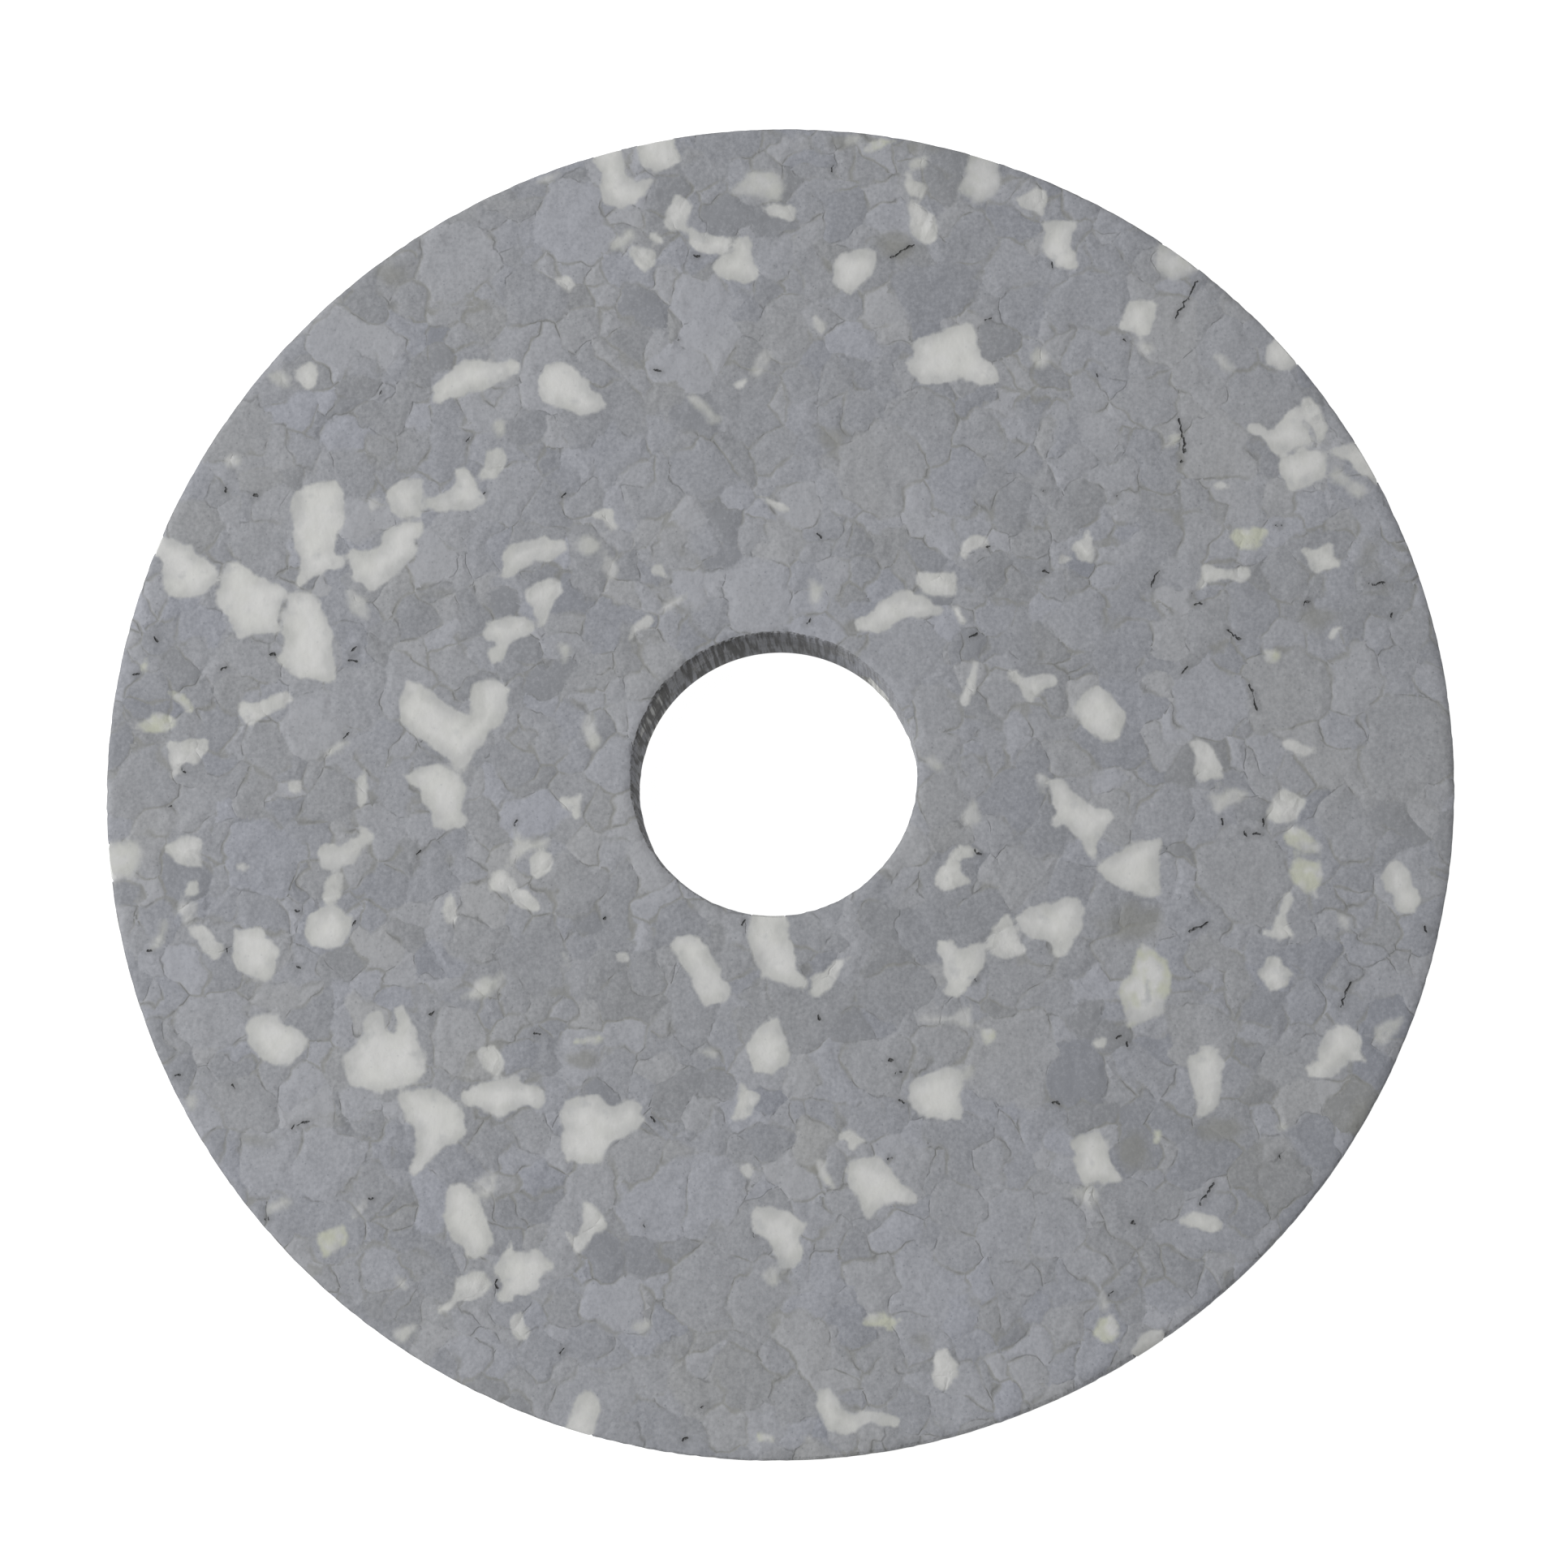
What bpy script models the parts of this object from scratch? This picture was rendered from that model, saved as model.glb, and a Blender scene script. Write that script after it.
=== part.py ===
"""Polishing wheel of bonded foam crumb: a flat disc with a plain round bore.

The disc is moulded from grey foam crumb held by a binder. Larger white crumbs are set in its front
face, each in a pocket of its own, and the ones at the rim and at the bore are cut flush with the wall.

Frame: the disc lies flat, its axis is +Z, and the origin is the centre of its back face.
Units: outlines and sizes are written in millimetres and built in metres.
"""

import math

import bmesh
import bpy
from mathutils import Vector

MM = 0.001

# Driving dimensions, in millimetres.
OUTSIDE_DIAMETER = 150.0
BORE_DIAMETER = 31.75
THICKNESS = 11.5
GAP = 0.3                  # clearance between a white crumb and the grey body
CRUMB_DEPTH_RATIO = 0.6    # a crumb's depth over the square root of its area
CRUMB_DEPTH_MIN = 2.5
CRUMB_DEPTH_MAX = 5.0
CRUMB_TAPER = 0.82         # size of a crumb's underside over its face
RIM_SIDES = 160
BORE_SIDES = 64
CUT_CLEARANCE = 1.0        # how far a cutter runs past the faces that it cuts

RADIUS = OUTSIDE_DIAMETER / 2
BORE_RADIUS = BORE_DIAMETER / 2

GREY = (0.30, 0.32, 0.35, 1.0)
WHITE = (0.68, 0.68, 0.66, 1.0)
ROUGHNESS = 0.95

# Outlines of the white crumbs on the front face, in millimetres from the axis, in order around the
# disc from the top. One that crosses the rim or the bore is trimmed there.
WHITE_CRUMBS = [
    [(-22.1, 73.8), (-18.5, 74.7), (-17.8, 71.2), (-17.6, 69.3), (-16, 68.8), (-14.6, 69.2),
     (-14.6, 67.7), (-17.3, 65.6), (-19.9, 65.9), (-20.5, 67.6), (-20.3, 69.6), (-21.1, 70.7)],
    [(-16.5, 75.2), (-12.7, 76), (-12, 72.6), (-11.3, 70.9), (-12.8, 70.4), (-14.3, 69.6),
     (-15.6, 70.3), (-16.2, 72)],
    [(-3.6, 69.8), (-1, 69.9), (0.3, 69.1), (0.5, 67.6), (0, 66.4), (-1.4, 66.7), (-3, 67),
     (-5.4, 67.2), (-4.9, 68.2), (-3.9, 68.8)],
    [(-4.9, 61.8), (-3.1, 62.2), (-3.1, 60.4), (-2.6, 58.7), (-2.3, 57), (-3.6, 56.7), (-5, 57),
     (-6.7, 57.3), (-7.8, 58.3), (-7, 59.4), (-5.6, 60), (-4.9, 60.8)],
    [(-26.2, 47.3), (-24.8, 47.4), (-22.9, 46.6), (-21.8, 45.5), (-21, 43.9), (-19.4, 42.7),
     (-19.6, 41.8), (-22.2, 41.1), (-24.6, 42), (-27.1, 43.2), (-27.3, 45.6)],
    [(6, 58), (6.3, 59.1), (7.4, 60), (8.7, 60.5), (10.2, 60.5), (11.3, 60), (11, 58.3), (10.1, 56.8),
     (8.4, 55), (7.6, 55.2), (6.3, 56.4)],
    [(14.3, 46.9), (15.3, 48), (15.4, 49.9), (18.3, 50.5), (19.9, 51.4), (21.6, 51.7), (22.5, 50.6),
     (22.6, 49.2), (23.3, 47.6), (25.1, 46.2), (24.8, 44.7), (23.2, 44.2), (21.2, 45.2), (19.5, 44.9),
     (16.2, 44.5)],
    [(20.4, 67.8), (21.2, 69.2), (21.6, 70.8), (21.9, 73.9), (24.2, 73.2), (24.9, 69.9), (25.2, 68.4),
     (24.8, 67), (23.2, 65.7), (22, 66.2), (21.2, 67)],
    [(30.1, 63.6), (31.8, 63.5), (34.1, 63.8), (33.4, 62.2), (33.3, 60.5), (33.9, 59.2), (34, 58.1),
     (33, 57.7), (31.5, 58.1), (31, 59), (30, 60.2), (30.2, 62)],
    [(42.4, 59.2), (43, 60.3), (45.4, 62.4), (49.3, 59.2), (47.6, 57.7), (46.4, 57.1), (44.9, 56.6),
     (43.7, 57.2), (42.7, 58.2)],
    [(39.6, 53.9), (40.5, 54.5), (41.6, 54.4), (42.8, 53.8), (42.9, 52.7), (42.4, 51.4), (42.1, 50),
     (40.8, 49.9), (39.9, 50.5), (38.7, 50.8), (38.9, 51.8)],
    [(54.9, 47.3), (55.2, 48.6), (56.6, 51.9), (60.8, 47.2), (57, 45.8), (55.2, 46.4)],
    [(52.9, 39.5), (54, 39.8), (55.5, 39), (56.8, 40.5), (58.4, 41.6), (58.9, 40), (59.7, 38.7),
     (60, 37.5), (58.3, 36.9), (57.1, 36.5), (56.2, 36.1), (55.5, 36.6), (54.8, 37.7), (53.1, 38.7)],
    [(56.2, 35.6), (58.3, 36.4), (60.4, 37.1), (61.5, 36.1), (61.8, 34.7), (61.3, 33.4), (59.9, 32.7),
     (58.7, 32), (57.4, 32), (56.8, 33.4)],
    [(61.75, 36.6), (63.3, 37.3), (64.6, 37.5), (66.8, 38.4), (69.4, 33.4), (67.3, 32.7), (66.2, 33.6),
     (64.9, 34.5), (64, 35.5), (62.7, 36.1)],
    [(67.7, -9.6), (68.7, -9.5), (69.8, -10.6), (70.1, -12.1), (70.8, -13.1), (70.7, -14.3),
     (70.1, -15.6), (69.3, -15.7), (68.3, -14.8), (67.7, -13.4), (66.9, -12.3), (66.8, -10.9)],
    [(34.9, 9.4), (35.8, 9.8), (36.9, 9.3), (37.7, 8.2), (38.7, 7.1), (38.7, 5.7), (38.2, 3.8),
     (37.6, 3.5), (36.3, 3.8), (34.1, 5.4), (33.5, 6.6), (33.3, 7.6)],
    [(30.4, -0.9), (31.5, -0.4), (32.6, -1), (33.3, -2.3), (35.1, -3.5), (37.1, -4), (37.6, -5.1),
     (36.8, -6.2), (35.8, -7.8), (35.8, -8.8), (35.2, -9.5), (34.6, -9.2), (34.3, -7.9), (33.3, -6.8),
     (32.4, -5.9), (31, -6.3), (30.4, -6), (30.7, -4.9), (31.3, -4.6), (30.7, -3.1)],
    [(35.7, -10.4), (37.4, -9.2), (39.3, -7.9), (41.5, -7.4), (42.9, -7.4), (42.4, -9), (42.6, -11.5),
     (42.7, -13.5), (42.1, -14), (40.2, -13.5), (38, -12.6), (36.3, -11.7)],
    [(28, -15.1), (30.2, -14.3), (32.1, -13.8), (33.8, -14), (34, -15.3), (34.1, -17.1), (33.2, -19),
     (32.1, -20.3), (31.3, -20.4), (30.7, -19), (29.6, -18.4), (28.2, -18.1), (27.2, -17.2),
     (26.6, -16)],
    [(40.5, -18.7), (41.5, -19), (42.3, -20.3), (43.3, -20.9), (43.7, -22.1), (43.5, -23.7),
     (43.1, -25), (42.6, -26.6), (41.5, -27.1), (40.2, -27.9), (39, -28.1), (38.6, -26.6), (38.1, -25),
     (38, -23.4), (39.3, -22.4), (39.6, -21.5), (40, -20.3)],
    [(8.8, 17.3), (10.2, 17.9), (11.8, 19.4), (13.3, 20.5), (15, 20.6), (16.2, 20.1), (17.6, 19.5),
     (19.2, 18.4), (18.3, 17.9), (16.5, 17.6), (14.6, 17.7), (12.7, 16.5), (11.3, 15.8), (10.1, 16),
     (9.1, 16.5)],
    [(18, -18.5), (19.6, -18.7), (20.5, -19.5), (22.1, -19), (23.5, -18.8), (23.4, -20.2), (23, -21.8),
     (22.1, -22.8), (21.3, -24.4), (20, -24.9), (18.9, -24.4), (19, -22.7), (18.5, -20.3)],
    [(-2.9, -17), (-1.7, -15), (0.9, -15), (1.6, -17.1), (2.1, -19), (2.7, -20.6), (2.9, -22.1),
     (3.8, -23.4), (3.3, -23.8), (1.5, -23.5), (-1, -22.9), (-1.5, -21.5), (-2.3, -19.6),
     (-2.9, -18.1)],
    [(-11.2, -19.2), (-10.7, -18.2), (-9.2, -18), (-7.8, -18.7), (-6.6, -20.3), (-5.7, -22.1),
     (-4.5, -24.4), (-5, -25.5), (-6.8, -25.8), (-8, -25.5), (-8.6, -24), (-9.3, -22.3),
     (-10.2, -20.6)],
    [(46.8, -29.9), (48.2, -29.8), (48.8, -30.7), (49.1, -32.4), (49.1, -34), (48.8, -35.6),
     (49, -36.5), (47.7, -37.4), (46.5, -38.1), (46.2, -37.8), (46.5, -36.5), (45.8, -34.9),
     (45.4, -33.1), (45.5, -31.5), (46.3, -30.7)],
    [(60.2, -29), (60.8, -28.1), (61.9, -27.6), (63.2, -27.9), (64, -29.2), (64.1, -30.6),
     (64.8, -31.7), (64, -31.8), (62.7, -31.5), (61.9, -32.8), (61, -33.1), (60.2, -33.8),
     (58.7, -33.4), (58, -32.4), (59.3, -31.8), (59.6, -30.3)],
    [(34, -39.6), (35.5, -39.3), (36.8, -40.6), (36.8, -42.4), (37.7, -43.8), (38, -44.8),
     (36.5, -44.9), (33.7, -45.1), (33.2, -44), (33, -42.4), (32.7, -40.9), (33.2, -40.1)],
    [(39.4, -62.6), (40.2, -61.5), (41.5, -60.9), (42.6, -60.9), (44.6, -62.8), (40.4, -65.6),
     (39.2, -63.7)],
    [(15.1, -34.3), (16.5, -33.4), (18.3, -32.8), (19.6, -32.4), (20.7, -33.1), (20.8, -34.9),
     (20.8, -37.1), (20.7, -38.2), (19, -38.3), (16.5, -37.9), (15.5, -37.1), (14.9, -35.6)],
    [(5.2, -67.4), (6.5, -67.1), (7.4, -68.1), (8, -69.6), (9.3, -69.9), (11.2, -69.5), (13.3, -69.9),
     (14.1, -70.6), (13.8, -71.2), (12.1, -71), (10.8, -70.9), (9.6, -71.7), (8, -72.1), (6.8, -71.7),
     (5.8, -70.7), (5.2, -69.3)],
    [(8.3, -42.8), (9.9, -42.3), (11.8, -42.3), (13, -43.4), (14, -44.9), (15.2, -46), (16, -46.5),
     (15.7, -47.4), (13.7, -47.4), (12.4, -47.4), (11.5, -48.4), (10.8, -49.3), (10.2, -48.4),
     (9.6, -47.1), (8.7, -46.2), (8.3, -44.3)],
    [(-1.8, -47.4), (-0.4, -47.8), (1.5, -48.1), (3, -49), (4.1, -49.9), (3.2, -50.9), (3.5, -52.1),
     (3.5, -53.2), (2.4, -54.2), (1.3, -54.3), (0.8, -53.1), (0.2, -51.8), (-1, -51), (-2, -50.6),
     (-2.1, -49.3), (-2, -48.4)],
    [(-0.4, -27.3), (0.8, -27), (1, -28.7), (1.8, -29.9), (1.9, -31.5), (1.2, -32.6), (0.2, -33.3),
     (-1, -33.3), (-2, -32.9), (-2.6, -31.2), (-2.8, -29.9), (-2.1, -28.8)],
    [(-22.3, -36.2), (-20.7, -36), (-19.5, -35.7), (-18.2, -36.5), (-17.1, -37), (-16, -36.3),
     (-14.8, -36.3), (-14.3, -37.4), (-13.7, -38.5), (-14.8, -39.5), (-16.7, -40.6), (-17.9, -41.8),
     (-18.4, -42.8), (-19.5, -43.2), (-21.2, -42.9), (-22.4, -43), (-22.9, -41.2), (-22.9, -39.3),
     (-23.2, -37.8)],
    [(-28.3, -51.4), (-28.2, -53), (-27, -52.9), (-25.4, -52.5), (-24.5, -53.6), (-23.4, -54.3),
     (-24.5, -55.3), (-25.4, -56.8), (-26.3, -57.4), (-27.6, -57.6), (-28.2, -58.4), (-29.5, -58.2),
     (-29.8, -57.6), (-29.2, -56.7), (-29.4, -55.6), (-30, -54.8), (-29.2, -53.5)],
    [(-21, -68.7), (-19.5, -67.6), (-18.5, -68.4), (-18.2, -69.6), (-18.7, -70.9), (-19.5, -74.5),
     (-22.7, -73.6), (-21.7, -70.6)],
    [(-33.8, -35.7), (-32.7, -34.8), (-30.8, -34.4), (-28.9, -33.7), (-27.8, -33.4), (-27.8, -34.5),
     (-25.1, -35.1), (-24.9, -35.9), (-25.4, -37.3), (-27.1, -37), (-28.5, -37.4), (-29.2, -38.1),
     (-30.2, -38.4), (-30.5, -37.8), (-32.7, -37.3), (-33.75, -36.85)],
    [(-34.2, -45.4), (-33.3, -45.6), (-32.3, -47), (-31.1, -49), (-30.5, -51.2), (-30.2, -52.1),
     (-31.1, -53.2), (-32.8, -53.6), (-34.2, -52.1), (-35.3, -50.6), (-35.8, -49), (-35.6, -47.3),
     (-35.2, -45.9)],
    [(-39.1, -35.1), (-37.3, -35.2), (-35.5, -35.9), (-34.1, -37.1), (-33.4, -39.3), (-34.1, -40.6),
     (-35.5, -41.5), (-36.7, -42.4), (-38, -44), (-39.1, -44.6), (-39.8, -44.4), (-39.1, -42.8),
     (-38.9, -41), (-39.2, -39.6), (-40.3, -38.4), (-40.9, -37.1), (-41.2, -35.8)],
    [(-45.2, -27.4), (-43.4, -26.3), (-43, -27.4), (-42.7, -28.7), (-41.7, -29), (-41.3, -27.8),
     (-41.7, -26.5), (-40.9, -25.9), (-40.2, -26.7), (-39.8, -28.1), (-39.1, -29.3), (-38.6, -30.9),
     (-38.1, -32), (-38.4, -33.4), (-39.2, -34.6), (-41.2, -35.3), (-43.3, -35.5), (-45.2, -35.1),
     (-46.7, -34.6), (-47.2, -33.1), (-47.5, -31.7), (-46.1, -30.7), (-45.2, -29)],
    [(-58.4, -28.2), (-57.7, -27.3), (-56.4, -26.8), (-55.2, -26.8), (-53.9, -27.9), (-52.3, -29),
     (-51.3, -29.9), (-51.9, -31.3), (-53, -32.4), (-54.5, -32.8), (-55.8, -32.4), (-57, -31.3),
     (-58.1, -30.1)],
    [(-60, -17.3), (-58.6, -17.6), (-57.2, -17.2), (-56.1, -18.4), (-54.5, -20.3), (-55.2, -21.2),
     (-55.5, -22.8), (-56.1, -23.4), (-58, -23.1), (-59.2, -22.1), (-60.1, -20.6), (-60.1, -19)],
    [(-50.5, -15.2), (-48.6, -14.9), (-47, -15.9), (-46.7, -17.4), (-47.5, -19.3), (-49.2, -19.9),
     (-51.1, -19.3), (-52, -18.2), (-52, -16.8), (-51.1, -15.7)],
    [(-50.9, -8.4), (-49.8, -8.1), (-48, -8.2), (-46.1, -6.9), (-46.4, -5.9), (-45.4, -6.2),
     (-44.5, -7), (-45.2, -7.8), (-46.3, -9), (-46.6, -10.2), (-48, -10.7), (-49.8, -10.9),
     (-50.6, -9.9)],
    [(-76.2, -8.2), (-72.3, -7.6), (-70.9, -7.6), (-70.4, -8.8), (-70.8, -10.6), (-71.6, -11.9),
     (-76, -12.4)],
    [(-41.6, 0.1), (-39.5, 0.4), (-38.3, 1.2), (-36.7, 0.8), (-34.8, -0.3), (-34.1, -1.5), (-34.7, -4),
     (-34.2, -5.7), (-35.5, -6.3), (-37.7, -6.2), (-38.2, -4.7), (-38.8, -3.4), (-40, -1.5),
     (-41.1, -0.7)],
    [(-41.6, 11), (-39.5, 10.1), (-37.3, 8.2), (-35.5, 6.9), (-33.9, 6.1), (-34.1, 8.2), (-33.9, 9.8),
     (-32.3, 11), (-30.5, 10.5), (-29.8, 9.1), (-30, 6.6), (-31.4, 4.8), (-32.7, 3.5), (-33.6, 1.9),
     (-34.8, 0.25), (-36.4, 1.5), (-38.3, 2.9), (-40.5, 4.6), (-41.9, 6), (-42.2, 7.9), (-41.7, 9.3)],
    [(-32.7, 16.9), (-31.1, 17.7), (-28.5, 18), (-27.2, 16.8), (-27.3, 16), (-29.3, 15.1), (-30, 14.4),
     (-30.8, 12.9), (-31.7, 12.6), (-32.3, 13.8), (-31.1, 14.8), (-32.8, 15.7)],
    [(-30, 26), (-28, 26.6), (-25.7, 27.1), (-23.8, 26.6), (-23.5, 25.5), (-25.9, 24.1), (-27.3, 24.4),
     (-28.7, 23.2), (-29.8, 22.3), (-31.3, 22.3), (-30.8, 23.8), (-30.9, 25.1)],
    [(-54, 20.8), (-52.8, 20.5), (-51.7, 19.9), (-50.8, 17.9), (-49.8, 16), (-50, 14.1), (-49.4, 11.6),
     (-49.4, 10.5), (-50.5, 10.4), (-52, 10.7), (-53.9, 11.2), (-55.2, 12.3), (-56.1, 13),
     (-55.5, 14.1), (-55.5, 15.9), (-55.7, 17.4), (-55.3, 19.3), (-55.1, 20.5)],
    [(-62, 24.1), (-60.8, 24.4), (-60, 23.5), (-58.3, 22.4), (-56.3, 21.7), (-55.5, 20.9),
     (-55.8, 19.4), (-56.2, 17.6), (-56, 16), (-57, 16), (-58.6, 16), (-60.8, 15.4), (-61.1, 16.6),
     (-62, 18.2), (-63.2, 19.4), (-63.4, 20.8), (-62.9, 22), (-62.5, 23)],
    [(-71.6, 28), (-72.1, 26.2), (-70, 25.2), (-69.8, 23.4), (-69.5, 21.3), (-68.1, 20.2),
     (-66.7, 20.1), (-64.8, 20.4), (-63.8, 21.1), (-63.3, 22.3), (-63, 23.2), (-63.7, 23.9),
     (-65.2, 24.9), (-66.4, 26.3), (-68.6, 26.9)],
    [(-43.4, 28.3), (-42.2, 29), (-40.2, 28.9), (-39.9, 27.4), (-41, 26.6), (-40.5, 25.5),
     (-41.7, 23.8), (-43.3, 22.6), (-44.8, 21), (-45.8, 20.8), (-47, 21.8), (-48.1, 22.3), (-48, 23.5),
     (-48.4, 25), (-48.1, 25.7), (-46.1, 25.4), (-44.6, 26.2), (-44.4, 27.3)],
    [(-44.2, 32), (-43.6, 33.2), (-42.2, 33.7), (-40.1, 34), (-40.1, 32.2), (-40.3, 30.6),
     (-40.5, 29.4), (-43.2, 29.6), (-43.6, 30.8)],
    [(-36.4, 34.8), (-35.1, 35), (-33.7, 32.9), (-32.9, 31.1), (-34.2, 30.1), (-36.4, 30.1),
     (-37.9, 29.8), (-39.8, 30.4), (-39.6, 31.6), (-38.1, 32), (-36.5, 32.8), (-36.1, 33.6)],
    [(-55, 31.7), (-53.2, 33.3), (-51.8, 33.6), (-49.8, 33.5), (-48.9, 32.4), (-49, 30.8),
     (-48.7, 28.9), (-49.9, 27), (-50, 25.2), (-48.7, 24.7), (-48.6, 23.5), (-50.5, 23.3), (-52, 22.7),
     (-53, 21.7), (-54.2, 21.3), (-53.8, 22.8), (-53.9, 24.4), (-54.6, 26.2), (-55, 28.5)],
    [(-39.3, 42.9), (-39.2, 44.5), (-37.5, 46.1), (-36.1, 47.5), (-34.2, 47.9), (-32.5, 47.5),
     (-31.3, 47.2), (-30.1, 47.9), (-29.2, 47.2), (-29.4, 46.1), (-31.4, 45.3), (-33.3, 44.2),
     (-35.4, 43.7), (-38.6, 42.8)],
]


def clear_scene():
    """Remove every object, so that the script can be run again."""
    for item in list(bpy.data.objects):
        bpy.data.objects.remove(item, do_unlink=True)


def make_collection(name):
    """Return a new collection that is linked to the scene."""
    group = bpy.data.collections.new(name)
    bpy.context.scene.collection.children.link(group)
    return group


def make_material(name, colour):
    """Return a matte Principled material."""
    material = bpy.data.materials.new(name)
    material.use_nodes = True
    shader = material.node_tree.nodes["Principled BSDF"]
    shader.inputs["Base Color"].default_value = colour
    shader.inputs["Roughness"].default_value = ROUGHNESS
    shader.inputs["Metallic"].default_value = 0.0
    material.diffuse_color = colour
    return material


def add_cylinder(name, group, radius, sides, bottom, top):
    """Add an upright closed cylinder, all sizes in millimetres."""
    shape = bmesh.new()
    bmesh.ops.create_cone(shape, cap_ends=True, segments=sides, radius1=radius * MM,
                          radius2=radius * MM, depth=(top - bottom) * MM)
    mesh = bpy.data.meshes.new(name)
    shape.to_mesh(mesh)
    shape.free()
    item = bpy.data.objects.new(name, mesh)
    item.location.z = (top + bottom) / 2 * MM
    group.objects.link(item)
    return item


def outline_area(outline):
    """Return the signed area of a closed outline, positive when it runs anticlockwise."""
    total = 0.0
    for (x0, y0), (x1, y1) in zip(outline, outline[1:] + outline[:1]):
        total += x0 * y1 - x1 * y0
    return total / 2


def outline_centre(outline):
    """Return the mean of the outline's corners."""
    count = len(outline)
    return Vector((sum(x for x, _ in outline) / count, sum(y for _, y in outline) / count))


def grow_outline(outline, distance):
    """Move each side of an outline outwards by a distance and mitre the corners."""
    side = 1.0 if outline_area(outline) > 0 else -1.0
    points = [Vector(point) for point in outline]
    grown = []
    for index, point in enumerate(points):
        before = (point - points[index - 1]).normalized()
        after = (points[(index + 1) % len(points)] - point).normalized()
        normal_before = Vector((before.y, -before.x)) * side
        normal_after = Vector((after.y, -after.x)) * side
        bisector = (normal_before + normal_after).normalized()
        reach = distance / max(bisector.dot(normal_after), 0.5)
        grown.append(tuple(point + bisector * reach))
    return grown


def add_prism(name, group, outline, bottom, top):
    """Extrude a closed outline between two heights, as a mesh object with welded caps."""
    curve = bpy.data.curves.new(name, "CURVE")
    curve.dimensions = "2D"
    curve.fill_mode = "BOTH"
    curve.extrude = (top - bottom) / 2 * MM
    spline = curve.splines.new("POLY")
    spline.points.add(len(outline) - 1)
    for point, (x, y) in zip(spline.points, outline):
        point.co = (x * MM, y * MM, 0.0, 1.0)
    spline.use_cyclic_u = True
    flat = bpy.data.objects.new(name + "_outline", curve)
    flat.location.z = (top + bottom) / 2 * MM
    group.objects.link(flat)
    bpy.context.view_layer.update()

    evaluated = flat.evaluated_get(bpy.context.evaluated_depsgraph_get())
    mesh = bpy.data.meshes.new_from_object(evaluated)
    weld = bmesh.new()
    weld.from_mesh(mesh)
    bmesh.ops.remove_doubles(weld, verts=weld.verts, dist=0.00001)
    bmesh.ops.recalc_face_normals(weld, faces=weld.faces)
    weld.to_mesh(mesh)
    weld.free()
    solid = bpy.data.objects.new(name, mesh)
    solid.matrix_world = flat.matrix_world
    group.objects.link(solid)
    bpy.data.objects.remove(flat, do_unlink=True)
    bpy.data.curves.remove(curve)
    return solid


def taper_underside(solid, centre, ratio):
    """Draw a prism's underside in towards a centre point, which is in millimetres."""
    for vertex in solid.data.vertices:
        if vertex.co.z < 0:
            vertex.co.x = (centre.x + (vertex.co.x / MM - centre.x) * ratio) * MM
            vertex.co.y = (centre.y + (vertex.co.y / MM - centre.y) * ratio) * MM


def add_boolean(item, operation, other):
    """Cut or trim an object with another object, or with each object of a collection."""
    modifier = item.modifiers.new(operation.title(), "BOOLEAN")
    modifier.operation = operation
    modifier.solver = "EXACT"
    if isinstance(other, bpy.types.Collection):
        modifier.operand_type = "COLLECTION"
        modifier.collection = other
    else:
        modifier.object = other


def hide_cutter(item):
    """Mark an object as a cutter, which isn't part of the model."""
    item.hide_render = True
    item.display_type = "WIRE"


def meets_rim(outline):
    """Say whether an outline reaches the outer wall."""
    return max(math.hypot(x, y) for x, y in outline) > RADIUS


def meets_bore(outline):
    """Say whether an outline reaches the bore."""
    return min(math.hypot(x, y) for x, y in outline) < BORE_RADIUS


def crumb_depth(outline):
    """Return how deep a crumb sits, from the size of its face."""
    depth = CRUMB_DEPTH_RATIO * math.sqrt(abs(outline_area(outline)))
    return min(max(depth, CRUMB_DEPTH_MIN), CRUMB_DEPTH_MAX)


def add_white_crumb(number, outline, parts, pockets, trims):
    """Add one white crumb, flush with the front face, and the cutter of its pocket."""
    depth = crumb_depth(outline)
    trimmed = meets_rim(outline) or meets_bore(outline)
    name = f"white_crumb_{number:02d}"
    crumb = add_prism(name, parts, outline, THICKNESS - depth, THICKNESS)
    pocket = add_prism(f"pocket_{number:02d}", pockets, grow_outline(outline, GAP),
                       THICKNESS - depth - GAP, THICKNESS)
    for vertex in pocket.data.vertices:
        if vertex.co.z > 0:
            vertex.co.z += CUT_CLEARANCE * MM
    if not trimmed:
        centre = outline_centre(outline)
        taper_underside(crumb, centre, CRUMB_TAPER)
        taper_underside(pocket, centre, CRUMB_TAPER)
    if meets_rim(outline):
        add_boolean(crumb, "INTERSECT", trims["rim"])
    if meets_bore(outline):
        add_boolean(crumb, "DIFFERENCE", trims["bore"])
    hide_cutter(pocket)
    return crumb


def add_body(parts, pockets, trims):
    """Add the grey disc, with its bore and one pocket for each white crumb."""
    body = add_cylinder("crumb_body", parts, RADIUS, RIM_SIDES, 0.0, THICKNESS)
    add_boolean(body, "DIFFERENCE", trims["bore"])
    add_boolean(body, "DIFFERENCE", pockets)
    return body


def main():
    """Build the wheel."""
    clear_scene()
    parts = make_collection("polishing_wheel")
    cutters = make_collection("cutters")
    pockets = make_collection("pocket_cutters")
    low, high = -CUT_CLEARANCE, THICKNESS + CUT_CLEARANCE
    trims = {
        "rim": add_cylinder("rim_trim", cutters, RADIUS, RIM_SIDES, low, high),
        "bore": add_cylinder("bore_cutter", cutters, BORE_RADIUS, BORE_SIDES, low, high),
    }
    for cutter in trims.values():
        hide_cutter(cutter)

    grey = make_material("grey_crumb", GREY)
    white = make_material("white_crumb", WHITE)
    for number, outline in enumerate(WHITE_CRUMBS, start=1):
        crumb = add_white_crumb(number, outline, parts, pockets, trims)
        crumb.data.materials.append(white)
    body = add_body(parts, pockets, trims)
    body.data.materials.append(grey)


main()
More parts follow.
